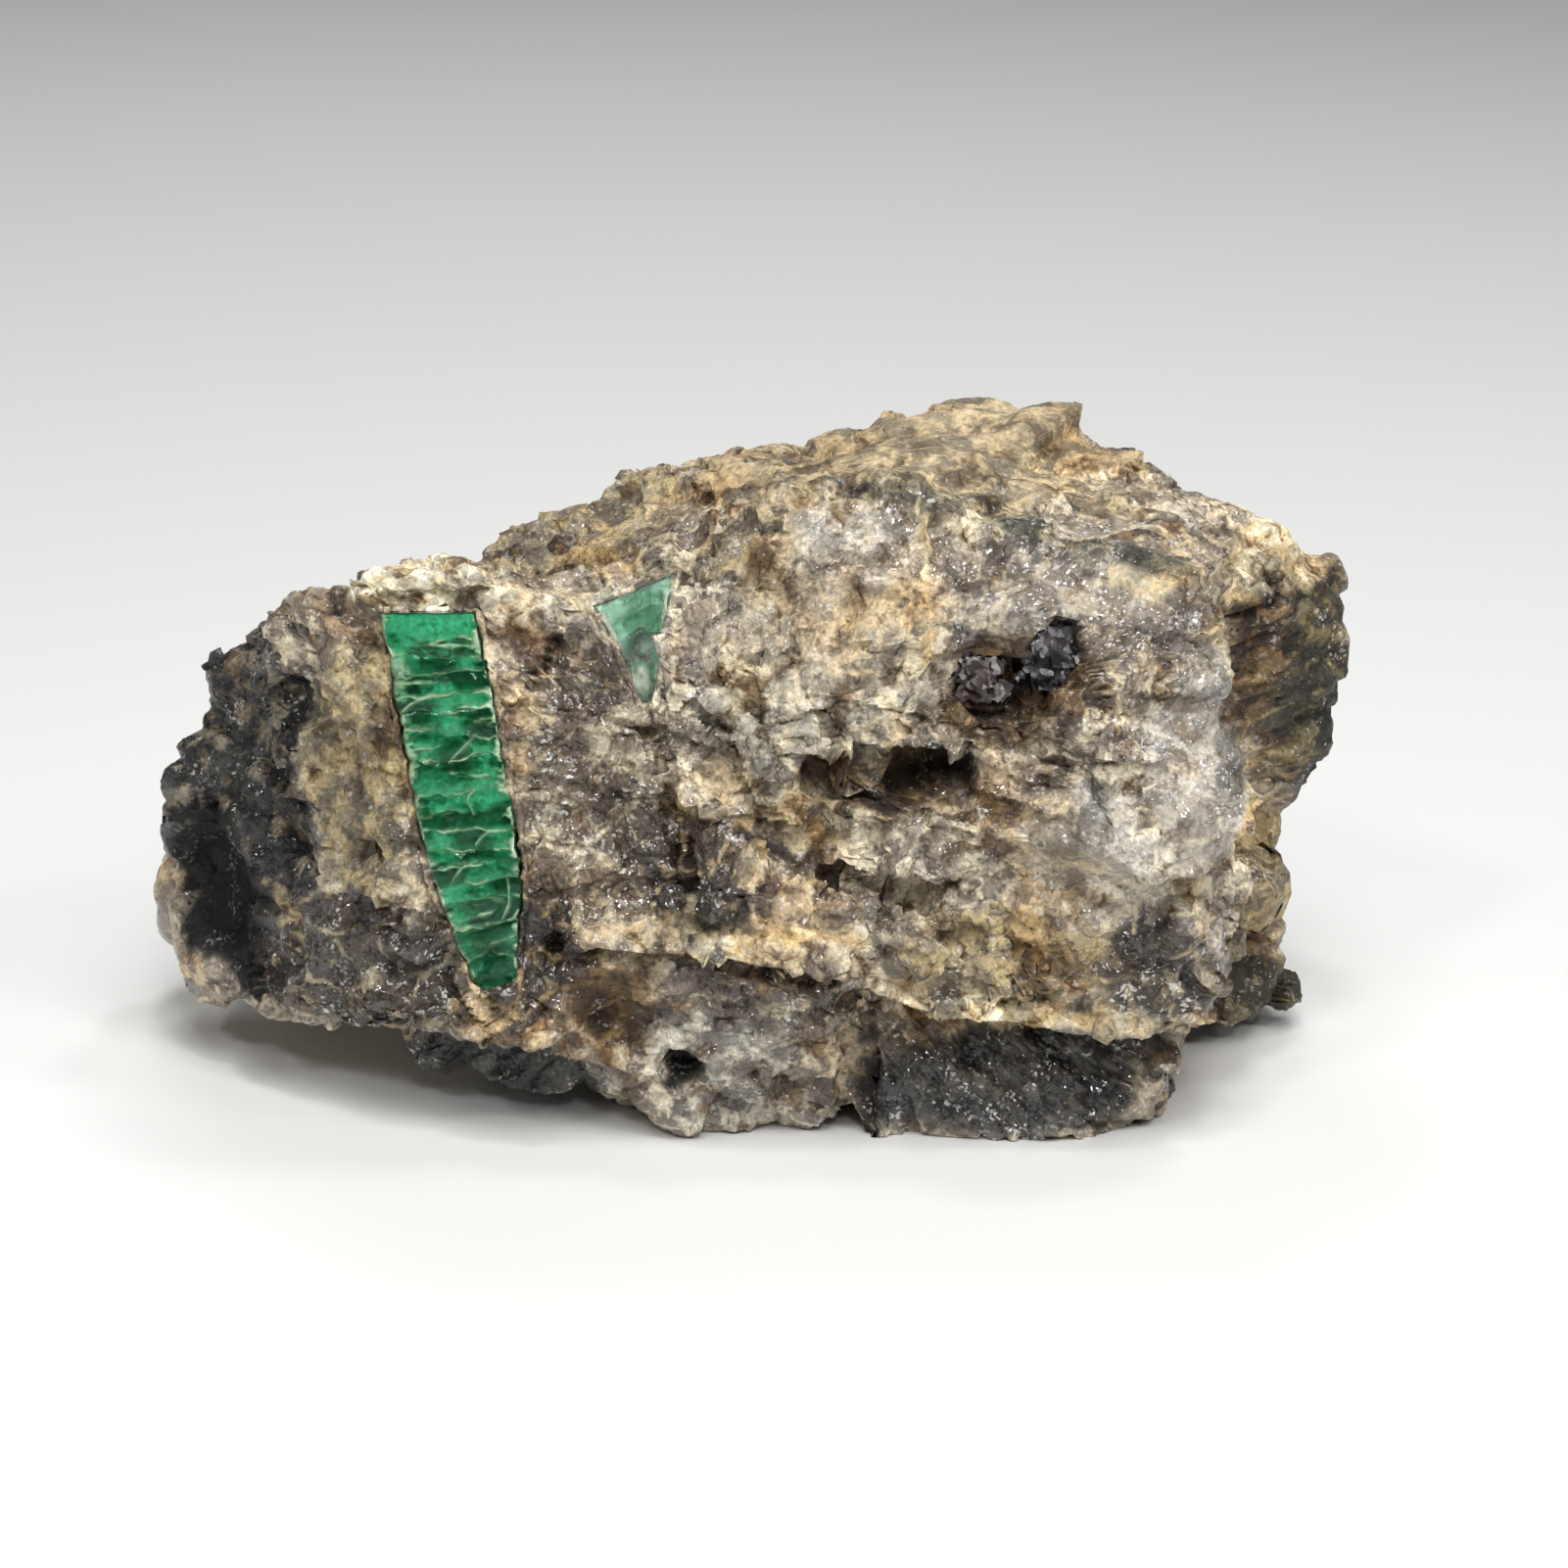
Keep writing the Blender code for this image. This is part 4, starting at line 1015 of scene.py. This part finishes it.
def eased(points, faces, times):
    """Points moved halfway to the mean of their neighbours along the grid, so many times."""
    near, far = faces.ravel(), np.roll(faces, -1, axis=1).ravel()
    near, far = np.concatenate([near, far]), np.concatenate([far, near])
    count = np.bincount(near)[:, None]
    for _ in range(times):
        total = np.stack([np.bincount(near, points[far, axis]) for axis in range(3)], axis=1)
        points = 0.5 * points + 0.5 * total / count
    return points


def make_stone(rock, box):
    """The stone: directions from the heart on a box grid drawn to the front, pushed to the surface
    of the solid, then worked along its normals with the finer relief."""
    grid, faces = box_grid(GRID_CELLS)
    directions = unit(unit(grid * GRID_HALF_SIZES) + GRID_PULL * GRID_FRONT)
    reach = lump_reach(directions)
    reach += relief(np.array(HEART) + reach[:, None] * directions)
    to_floor = HEART[2] / np.maximum(-directions[:, 2], TINY)
    points = eased(np.array(HEART) + np.minimum(reach, to_floor)[:, None] * directions, faces, 2)
    height = np.where(reach < to_floor, fine_relief(points), 0)
    points += height[:, None] * outward(points, faces)
    for table in PRISMS.values():
        points = press_prism_pocket(points, table)
    for table in MICA_BOOKS.values():
        points = press_book_pocket(points, table)
    points = np.clip(points, *box)
    stone = add_piece("matrix_stone", points, faces, rock, minerals(points))
    stone.data.set_sharp_from_angle(angle=SHARP_EDGE)
    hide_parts("matrix")
    return stone.data


def read_mesh(things, name, width=3):
    """One property of a mesh's points or faces, as rows of so many numbers."""
    values = np.empty(len(things) * width, np.float32)
    things.foreach_get(name, values)
    return values.reshape(-1, width).astype(float)


def clear_of_crystals(points, margin):
    """True where a point is outside every crystal's outline by the margin, and off the base."""
    clear = points[:, 2] > BASE_MARGIN
    for table in PRISMS.values():
        clear &= ~in_prism(points, table, -margin)[2]
    for table in MICA_BOOKS.values():
        clear &= in_book(points, table)[1] > -BOOK_LAP
    return clear


def scatter(mesh, count, seed, rarity):
    """Places on the stone's faces, drawn by area, more rarely in smooth places: points and normals."""
    middles = read_mesh(mesh.polygons, "center") / MM
    normals = read_mesh(mesh.polygons, "normal")
    areas = read_mesh(mesh.polygons, "area", 1)[:, 0]
    weight = areas * (1 - rarity * smoothness(middles)) * clear_of_crystals(middles, CRYSTAL_MARGIN)
    chosen = np.random.default_rng(seed).choice(len(middles), count, replace=False, p=weight / weight.sum())
    return middles[chosen], normals[chosen]


def icosahedron():
    """Twelve corners on the unit sphere and twenty faces."""
    ball = bmesh.new()
    bmesh.ops.create_icosphere(ball, subdivisions=1, radius=1)
    corners = np.array([corner.co for corner in ball.verts])
    faces = np.array([[corner.index for corner in face.verts] for face in ball.faces])
    ball.free()
    return corners, faces


def make_grains(name, stone, rock, box, count, seed, sizes, sink, rarity):
    """Faceted grains half sunk in the stone: at each place an icosahedron stretched and turned at
    random, then flattened along the surface's normal."""
    random = np.random.default_rng(seed + 1)
    places, normals = scatter(stone, count, seed, rarity)
    corners, faces = icosahedron()
    radius = sizes[0] + (sizes[1] - sizes[0]) * random.random(count) ** 2
    stretch = 0.65 + 0.7 * random.random((count, 1, 3))
    jitter = 1 + 0.3 * (random.random((count, len(corners), 1)) - 0.5)
    turn = np.linalg.qr(random.normal(size=(count, 3, 3)))[0]
    turn *= np.linalg.det(turn)[:, None, None]
    shape = (corners * jitter * stretch * radius[:, None, None]) @ turn
    lift = (shape * normals[:, None]).sum(axis=2, keepdims=True)
    shape -= GRAIN_FLATTENING * lift * normals[:, None]
    shape += (places - normals * (sink * radius)[:, None])[:, None]
    points = np.clip(shape.reshape(-1, 3), *box)
    numbers = (faces + len(corners) * np.arange(count)[:, None, None]).reshape(-1, 3)
    look = minerals(places)
    look[:, COLOUR_COLUMNS] *= 0.85 + 0.35 * random.random((count, 1))
    look = np.repeat(look, len(corners), axis=0)
    add_piece(name, points, numbers, rock, look, flat=True)


def joined(parts):
    """Several grids' points, faces and looks as one."""
    starts = np.cumsum([0] + [len(part[0]) for part in parts[:-1]])
    faces = [part[1] + start for part, start in zip(parts, starts)]
    looks = [part[2] for part in parts if len(part) > 2]
    return (np.concatenate([part[0] for part in parts]), np.concatenate(faces),
            np.concatenate(looks) if looks else None)


def depth_beside(path, surface, table):
    """How deep the rock lies beside a prism at each point of its outline: the mean of the surface's
    points outside it, weighted by exp of minus their squared distance."""
    beside = to_own(surface, table)
    length = length_of(table)
    beside = beside[(np.abs(beside[:, 0]) < RIM_SEARCH) & (beside[:, 1] < RIM_PAST)]
    beside = beside[(beside[:, 2] > -RIM_PAST) & (beside[:, 2] < length + RIM_PAST)]
    width = half_at(table, beside[:, 2])
    top = length + table["shear"] * beside[:, 0]
    beside = beside[(np.abs(beside[:, 0]) > width + RIM_CLEAR) | (beside[:, 2] > top + RIM_CLEAR)]
    away = ((path[:, None, ::2] - beside[None, :, ::2]) ** 2).sum(axis=2)
    weight = np.exp(-away / RIM_BLUR) + 1e-12
    return (weight @ beside[:, 1]) / weight.sum(axis=1)


def make_rims(stone, rock, box):
    """The rock's grown edge round each emerald: a tube carried along the crystal's outline at the
    depth of the rock beside it, its radius changed by noise."""
    surface = read_mesh(stone.vertices, "co") / MM
    around = np.linspace(0, 2 * np.pi, RIM_ROUND, endpoint=False)[:, None]
    parts = []
    for table in PRISMS.values():
        length = length_of(table)
        rise = np.linspace(RIM_START, length, RIM_SIDE)
        level = np.concatenate([rise, np.full(RIM_TOP, length), rise[::-1], np.full(RIM_FOOT, RIM_START)])
        share = np.concatenate([np.full(RIM_SIDE, -1), np.linspace(-1, 1, RIM_TOP),
                                np.full(RIM_SIDE, 1), np.linspace(1, -1, RIM_FOOT)])
        half = half_at(table, level)
        path = worked(np.stack([share * half, 0 * half, level], axis=1), table)
        path[:, 1] = depth_beside(path, surface, table)
        along = np.gradient(np.stack([share * half, level], axis=1), axis=0)
        out = np.stack([-along[:, 1], 0 * level, along[:, 0]], axis=1)
        out /= np.maximum(np.linalg.norm(out, axis=1, keepdims=True), TINY)
        radius = np.full(len(path), RIM_RADIUS)
        add_bumps(radius, path, RIM_BUMPS, 61)
        radius = np.maximum(radius, RIM_LEAST)[:, None, None]
        ring = radius * (RIM_WIDTH * np.cos(around) * out[:, None] + np.sin(around) * np.array((0, 1, 0)))
        points, faces = closed_tube((path + RIM_OUT * out)[:, None] + ring)
        ways = np.concatenate([np.repeat(out, RIM_ROUND, axis=0), out[:1], out[-1:]])
        look = minerals(from_own(points + ways, table))
        look[:, COLOUR_COLUMNS] *= RIM_BRIGHTNESS
        parts.append((from_own(points, table), faces, look))
    points, faces, look = joined(parts)
    add_piece("matrix_rims", np.clip(points, *box), faces, rock, look)


def emerald_material(name, colour, density, roughness):
    """Clear green crystal: full transmission, beryl's index, and light absorbed on its way through."""
    made, tree, shader = new_material(name)
    place = object_place(tree)
    grain = noise(tree, place, 900, 4, 0.6)["Fac"]
    fine = noise(tree, place, 2500, 3)["Fac"]
    feed(tree, shader, Base_Color=(0.97, 1.0, 0.98, 1), Transmission_Weight=1, IOR=BERYL_IOR,
         Specular_IOR_Level=0.3, Specular_Tint=(0.45, 0.75, 0.6, 1),
         Roughness=ramp(tree, grain, 0.35, 0.7, roughness * 0.4, roughness * 1.8),
         Normal=bumped(tree, fine, 0.35, 0.00008))
    inner = add_node(tree, "VolumeAbsorption", Color=(*colour, 1), Density=density)
    feed(tree, tree.nodes["Material Output"], Volume=inner.outputs[0])
    return made


def section_loop(section, count, rounding):
    """Points evenly spaced round a section's outline, its corners rounded by averaging neighbours."""
    corners = np.array(section + section[:1], float)
    lengths = np.concatenate([[0], np.cumsum(np.linalg.norm(np.diff(corners, axis=0), axis=1))])
    along = np.linspace(0, lengths[-1], count, endpoint=False)
    loop = np.stack([np.interp(along, lengths, corners[:, axis]) for axis in (0, 1)], axis=1)
    for _ in range(rounding):
        loop = 0.5 * loop + 0.25 * (np.roll(loop, 1, axis=0) + np.roll(loop, -1, axis=0))
    return loop


def closed_tube(rings):
    """Faces of a grid of rings closed round and capped by fans, with the two cap middles added."""
    rows, count = rings.shape[:2]
    number = np.arange(rows * count).reshape(rows, count)
    following = np.roll(number, -1, axis=1)
    quads = np.stack([number[:-1], following[:-1], following[1:], number[1:]], -1).reshape(-1, 4)
    sides = np.concatenate([quads[:, [0, 1, 2]], quads[:, [0, 2, 3]]])
    foot, head = rows * count, rows * count + 1
    low = np.stack([np.full(count, foot), following[0], number[0]], -1)
    high = np.stack([np.full(count, head), number[-1], following[-1]], -1)
    points = np.concatenate([rings.reshape(-1, 3), [rings[0].mean(axis=0)], [rings[-1].mean(axis=0)]])
    return points, np.concatenate([sides, low, high])


def break_height(height, across, number):
    """A break's height across a crystal: tilted a little, jagged by noise of three sizes."""
    tilt = 0.2 * (hashed(np.array([number, 2, 1]), 3) - 0.5)
    line = np.stack([across.ravel(), 0 * across.ravel() + 5.3 * number, 0 * across.ravel()], axis=1)
    jag = sum(amount * bumps(line, pitch, 3) for pitch, amount in ((2.2, 0.3), (0.8, 0.14), (0.3, 0.06)))
    return height + tilt * across + jag.reshape(across.shape)


def worked(points, table):
    """A crystal's points grooved along each break, each part between two breaks swelling a little
    and slipped sideways against the next, then sheared so that the top has its slope."""
    nearest = np.full(len(points), FAR)
    part = np.zeros(len(points))
    for number, height in enumerate(table["breaks"]):
        gap = points[:, 2] - break_height(height, points[:, 0], number)
        nearest = np.minimum(nearest, np.abs(gap))
        part += gap > 0
    cells = np.stack([part, 0 * part, 0 * part], axis=1)
    slip = 0.07 * np.stack([2 * hashed(cells, 5) - 1, 2 * hashed(cells, 6) - 1], axis=1)
    swell = 0.10 * smooth(nearest / 0.8) - 0.07 * np.exp(-(nearest / 0.1) ** 2) - 0.10
    swell += 0.12 * bumps(points * (1, 1, 0.6), 1.3, 7) + 0.05 * bumps(points, 0.5, 8)
    radius = np.linalg.norm(points[:, :2], axis=1, keepdims=True)
    made = points.copy()
    made[:, :2] += swell[:, None] * points[:, :2] / np.maximum(radius, TINY) + slip * smooth(radius)
    made[:, 2] += table["shear"] * points[:, 0] * smooth(points[:, 2] / table["taper"][-1][0])
    return made


def make_prism(name, surface, count):
    """A crystal as rings up its axis: its section at the taper's scale, then worked."""
    table = PRISMS[name]
    heights, scales = zip(*table["taper"])
    loop = section_loop(table["section"], count, 3) * table["half_width"]
    levels = np.linspace(0, heights[-1], int(heights[-1] / PRISM_STEP))
    rings = np.zeros((len(levels), count, 3))
    rings[..., :2] = loop * np.interp(levels, heights, scales)[:, None, None]
    rings[..., 2] = levels[:, None]
    points, faces = closed_tube(worked(rings.reshape(-1, 3), table).reshape(rings.shape))
    crystal = add_piece(name + "_body", from_own(points, table), faces, surface)
    crystal.data.set_sharp_from_angle(angle=CRYSTAL_EDGE)
    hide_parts(name)


def crack_material():
    """Matter in the crystals' cracks: two colours mixed by fine noise, softly shining."""
    made, tree, shader = new_material("healed cracks")
    share = ramp(tree, noise(tree, object_place(tree), 1800, 4)["Fac"], 0.4, 0.65)
    colour = mixed(tree, share, (0.30, 0.50, 0.26, 1), (0.66, 0.64, 0.42, 1))
    feed(tree, shader, Base_Color=colour, Roughness=0.6)
    return made


def cloud_material():
    """The crystals' cloudy inside: its own painted colour, broken a little by fine noise."""
    made, tree, shader = new_material("cloudy emerald")
    painted = add_node(tree, "Attribute", {"attribute_name": LOOKS[0]}).outputs["Color"]
    broken = swing(tree, noise(tree, object_place(tree), 2600, 5, 0.65)["Fac"], 0.6, 1.4)
    feed(tree, shader, Base_Color=scaled(tree, painted, broken), Roughness=0.5)
    return made


def ribbon(shape):
    """The four-cornered cells of a grid of so many rows and columns."""
    index = np.arange(shape[0] * shape[1]).reshape(shape[:2])
    return np.stack([index[:-1, :-1], index[1:, :-1], index[1:, 1:], index[:-1, 1:]], -1).reshape(-1, 4)


def seams_of(table):
    """Each seam's number, its height, its two ends, and the number that shapes its jagged line."""
    for number, (height, left, right) in enumerate(table["seams"]):
        order = table["breaks"].index(height) if height in table["breaks"] else 30 + number
        yield number, height, left, right, order


def seam_sheets(table):
    """Healed cracks: behind each crack a ragged sheet towards the back, sloping by chance and bent
    by noise, its small cells kept only where other noise is high."""
    front, back = sides_of(table["section"])
    depth = np.linspace(0.03, 0.9, SHEET_SHAPE[1])[None, :]
    parts = []
    for number, height, left, right, order in seams_of(table):
        half = half_at(table, height)
        stations = np.linspace(left, right, SHEET_SHAPE[0])
        level = break_height(height, stations * half, order)
        front_line, back_line = [half * np.interp(stations, *side.T) for side in (front, back)]
        sheet = np.zeros((*SHEET_SHAPE, 3))
        sheet[..., 0] = (stations * half)[:, None]
        sheet[..., 1] = front_line[:, None] + depth * (back_line - front_line)[:, None]
        slope = 1.6 * hashed(np.array([number, 3, 3]), 4) - 1.1
        sheet[..., 2] = level[:, None] + slope * depth
        sheet[..., 2] += 0.25 * bumps(sheet.reshape(-1, 3) + 9 * number, 1.3, 5).reshape(SHEET_SHAPE)
        points = worked(sheet.reshape(-1, 3), table)
        cells = ribbon(SHEET_SHAPE)
        at = points[cells[:, 0]]
        kept = bumps(at * (1, 1, 0) + 7 * number, 0.9, 6) + 0.6 * bumps(at, 0.3, 7) > 0.0
        parts.append((points, cells[kept]))
    return joined(parts)


def nearest_vein(flat, half, table):
    """Distance in a crystal's front plane to its nearest seam or branch, both bent by noise."""
    bent = flat + 0.1 * np.stack([bumps(flat, 0.9, 41), 0 * half, bumps(flat, 0.7, 42)], axis=1)
    share = bent[:, 0] / half
    nearest = np.full(len(flat), FAR)
    for number, height, left, right, order in seams_of(table):
        gap = np.abs(bent[:, 2] - break_height(height, bent[:, 0], order))
        past = np.maximum(0, np.maximum(left - share, share - right))
        gap += past + 0.12 * smooth(0.5 - 2 * bumps(bent + 30 * number, 1.1, 43))
        nearest = np.minimum(nearest, gap)
    for path in table["branches"]:
        away = distance_to_path(bent * (1, 0, 1), [(x, 0, z) for x, z in path])
        nearest = np.minimum(nearest, away + 0.03)
    return nearest


def cloud_layer(table):
    """A cloudy layer under the whole front: a grid that noise carries deeper where it is dark and
    nearer where it is milky, with pale veins and patches that come close to the surface."""
    length = length_of(table)
    columns = np.linspace(-0.93, 0.93, CLOUD_COLUMNS)
    across, up = np.meshgrid(columns, np.arange(0.15, length - 0.05, CLOUD_STEP), indexing="ij")
    half = half_at(table, up)
    flat = np.stack([across * half, half * np.interp(across, *sides_of(table["section"])[0].T), up], axis=-1)
    cells = ribbon(flat.shape)
    flat, half = flat.reshape(-1, 3), half.ravel()
    nearest = nearest_vein(flat, half, table)
    broad = bumps(flat * (1, 0, 1.7), 1.9, 31)
    small = bumps(flat * table["grain"], 0.6, 32) + 0.5 * bumps(flat * table["grain"], 0.25, 34)
    milky = smooth(0.45 * np.exp(-nearest / 0.3) + 0.65 * broad + 0.18 * small + table["milk"])
    milky = np.maximum(milky, 0.9 * smooth(flat[:, 2] / length * 10 - 8.4 + 0.4 * small))
    wide = 0.09 + 0.07 * bumps(flat, 0.8, 44)
    pale = np.exp(-(nearest / np.maximum(wide, 0.03)) ** 2) + 0.24 * np.exp(-(nearest / 0.28) ** 2)
    pale *= table["vein"]
    pale = np.maximum(pale, smooth(0.5 + 5 * (np.abs(flat[:, 0]) / half - 0.84) + 0.6 * small))
    for x, z, wide_x, wide_z in table["patches"]:
        near = np.exp(-(((flat[:, 0] - x) / wide_x) ** 2 + ((flat[:, 2] - z) / wide_z) ** 2) ** 2)
        pale = np.maximum(pale, near * np.clip(0.85 + 0.35 * small, 0.45, 1))
    pale = smooth(pale)
    deep, bright, cream = np.array(table["cloud"])
    colour = deep + milky[:, None] * (bright - deep)
    colour += pale[:, None] * (cream - colour)
    depth = (0.3 + 0.8 * (1 - milky)) * np.minimum(half, 1.5) * (1 - 0.88 * pale)
    flat = worked(flat + np.stack([0 * depth, depth, 0 * depth], axis=1), table)
    return flat, cells, np.column_stack([colour, 0 * milky + 1])


def make_inside(name, seams, milk):
    """What is seen inside a crystal: its cloud and its healed cracks."""
    for ending, surface, (points, faces, look) in (("_cloud", milk, cloud_layer(PRISMS[name])),
                                                   ("_seams", seams, seam_sheets(PRISMS[name]))):
        add_piece(name + ending, from_own(points, PRISMS[name]), faces, surface, look)


def mica_material(name, dark, light):
    """Dark mica: plates from dark to lighter by noise, a bright coat and small turned faces."""
    made, tree, shader = new_material(name)
    place = object_place(tree)
    cells = add_node(tree, "TexVoronoi", Vector=place, Scale=2600).outputs["Color"]
    cloudy = noise(tree, place, 900, 4)["Fac"]
    turned = scaled(tree, vector(tree, "SUBTRACT", cells, (0.5, 0.5, 0.5)), 0.6)
    whole = vector(tree, "ADD", bumped(tree, cloudy, 0.4, 0.0001), turned)
    colour = mixed(tree, ramp(tree, cloudy, 0.45, 0.7), (*dark, 1), (*light, 1))
    feed(tree, shader, Base_Color=colour, Roughness=swing(tree, cloudy, 0.12, 0.4),
         Normal=vector(tree, "NORMALIZE", whole), Coat_Weight=0.6, Coat_Roughness=0.08)
    return made


def mica_plates(loop):
    """Rings of thin plates: the six-sided outline carried up in steps, each plate its own size,
    slipped and tilted a little, its edge ragged by noise, and packs of plates broken off along a
    line."""
    rings = []
    for plate in range(int(MICA_LAYERS[-1] / PLATE_THICKNESS)):
        low = plate * PLATE_THICKNESS
        layer = np.searchsorted(MICA_LAYERS, low + TINY) - 1
        cell = np.array([[plate, 1, 2], [plate, 4, 3]])
        pack = np.array([[plate // 4, 7, 2], [plate // 4, 3, 9]])
        scale = MICA_LAYER_SCALES[layer] * (0.85 + 0.12 * hashed(cell[0], 9))
        flat = np.concatenate([loop, np.full((len(loop), 1), 3.0 * (plate // 2))], axis=1)
        ragged = 1 - 0.2 * np.abs(bumps(flat, 0.9, 12)) - 0.06 * np.abs(bumps(flat, 0.3, 13))
        outline = loop * scale * ragged[:, None]
        turn = 2 * np.pi * hashed(pack[0], 14)
        way = np.array([np.cos(turn), np.sin(turn)])
        past = outline @ way - (0.3 + 0.6 * hashed(pack[1], 15)) * np.abs(outline @ way).max()
        outline = outline - np.maximum(past, 0)[:, None] * way + 0.1 * (2 * hashed(cell, 11) - 1)
        lean = 0.06 * (2 * hashed(pack, 16) - 1)
        for height in (low + 0.01, low + PLATE_THICKNESS - 0.015):
            rings.append(np.concatenate([outline, (height + outline @ lean)[:, None]], axis=1))
    return np.stack(rings)


def mica_flake(reach, random):
    """Rings of a loose six-sided flake on a book's front or rim, a thin plate turned at random."""
    six = np.pi / 3 * np.arange(6)
    size = 0.25 + 0.65 * random.random() ** 2
    middle = (2 * random.random(2) - 1) * reach * 0.92
    top = MICA_LAYERS[-1] * (0.93 - 0.35 * ((middle / reach) ** 2).sum())
    spin = 0.3 * random.normal()
    rim = size * np.stack([np.cos(six + spin), np.sin(six + spin)], axis=1)
    rim = rim * (0.7 + 0.5 * random.random((6, 1)))
    lean = 0.35 * random.normal(size=2)
    lift = (rim @ lean)[:, None] + top + 0.25 * random.normal()
    flake = np.concatenate([rim + middle, lift], axis=1)
    return np.stack([flake, flake + (0, 0, 0.05 + 0.12 * random.random())])


def make_mica_book(name, surface, seed, count):
    """A book of thin plates with loose flakes that lean on its front and rim."""
    table = MICA_BOOKS[name]
    random = np.random.default_rng(seed)
    loop = section_loop(table["section"], PLATE_CORNERS, 1)
    reach = np.abs(loop).max(axis=0)
    flakes = [mica_flake(reach, random) for _ in range(count)]
    points, faces, _ = joined([closed_tube(rings) for rings in [mica_plates(loop)] + flakes])
    book = add_piece(name + "_plates", from_own(points, table), faces, surface, flat=True)
    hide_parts(name)


def aim(thing, place, target):
    """Puts a lamp or camera at a place and turns it to a target."""
    thing.location = place
    thing.rotation_euler = (Vector(target) - thing.location).to_track_quat("-Z", "Y").to_euler()


def make_stage():
    """A pale floor, a pale sky of even light, soft lights and the camera at the photograph's angle."""
    made, tree, shader = new_material("pale floor")
    feed(tree, shader, Base_Color=(0.74, 0.74, 0.73, 1), Roughness=0.6)
    corners = [(x, y, -FLOOR_DROP) for x, y in ((-1, -1), (1, -1), (1, 1), (-1, 1))]
    mesh = bpy.data.meshes.new("floor")
    mesh.from_pydata((np.array(corners) * (FLOOR_HALF_SIZE, FLOOR_HALF_SIZE, 1)).tolist(), [], [(0, 1, 2, 3)])
    mesh.materials.append(made)
    floor = add_thing("floor", mesh)
    world = bpy.data.worlds.new("studio")
    world.use_nodes = True
    feed(world.node_tree, world.node_tree.nodes["Background"], Color=(1.0, 0.99, 0.97, 1), Strength=0.11)
    scene = bpy.context.scene
    scene.world = world
    for name, (place, size, power) in LAMPS.items():
        lamp = bpy.data.lights.new(name, "AREA")
        lamp.size = size
        lamp.energy = power
        aim(add_thing(name, lamp), place, LAMP_TARGET)
    camera = add_thing("camera", bpy.data.cameras.new("camera"))
    camera.data.lens = 100
    camera.data.sensor_width = 36
    camera.data.clip_start = 0.01
    tilt = np.radians(CAMERA_TILT)
    back = CAMERA_DISTANCE * Vector((0, -np.cos(tilt), np.sin(tilt)))
    aim(camera, Vector(CAMERA_TARGET) + back, CAMERA_TARGET)
    scene.camera = camera
    scene.view_settings.view_transform = "Standard"


def main():
    """Loads the solids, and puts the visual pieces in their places."""
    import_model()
    box = [np.array(corner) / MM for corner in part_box("matrix")]
    rock = rock_material()
    stone = make_stone(rock, box)
    for name, *settings in GRAIN_SETS:
        make_grains(name, stone, rock, box, *settings)
    make_rims(stone, rock, box)
    clear = emerald_material("clear emerald", (0.02, 0.98, 0.76), 180, 0.10)
    pale = emerald_material("pale emerald", (0.25, 0.95, 0.75), 80, 0.25)
    cracks = crack_material()
    milk = cloud_material()
    make_prism("emerald_crystal_large", clear, 120)
    make_inside("emerald_crystal_large", cracks, milk)
    make_inside("emerald_crystal_small", cracks, milk)
    make_prism("emerald_crystal_small", pale, 80)
    black = mica_material("black mica", (0.012, 0.011, 0.012), (0.07, 0.06, 0.058))
    violet = mica_material("violet brown mica", (0.016, 0.009, 0.008), (0.050, 0.030, 0.028))
    make_mica_book("dark_mica_large", black, 5, 90)
    make_mica_book("dark_mica_small", violet, 6, 45)
    make_stage()


main()
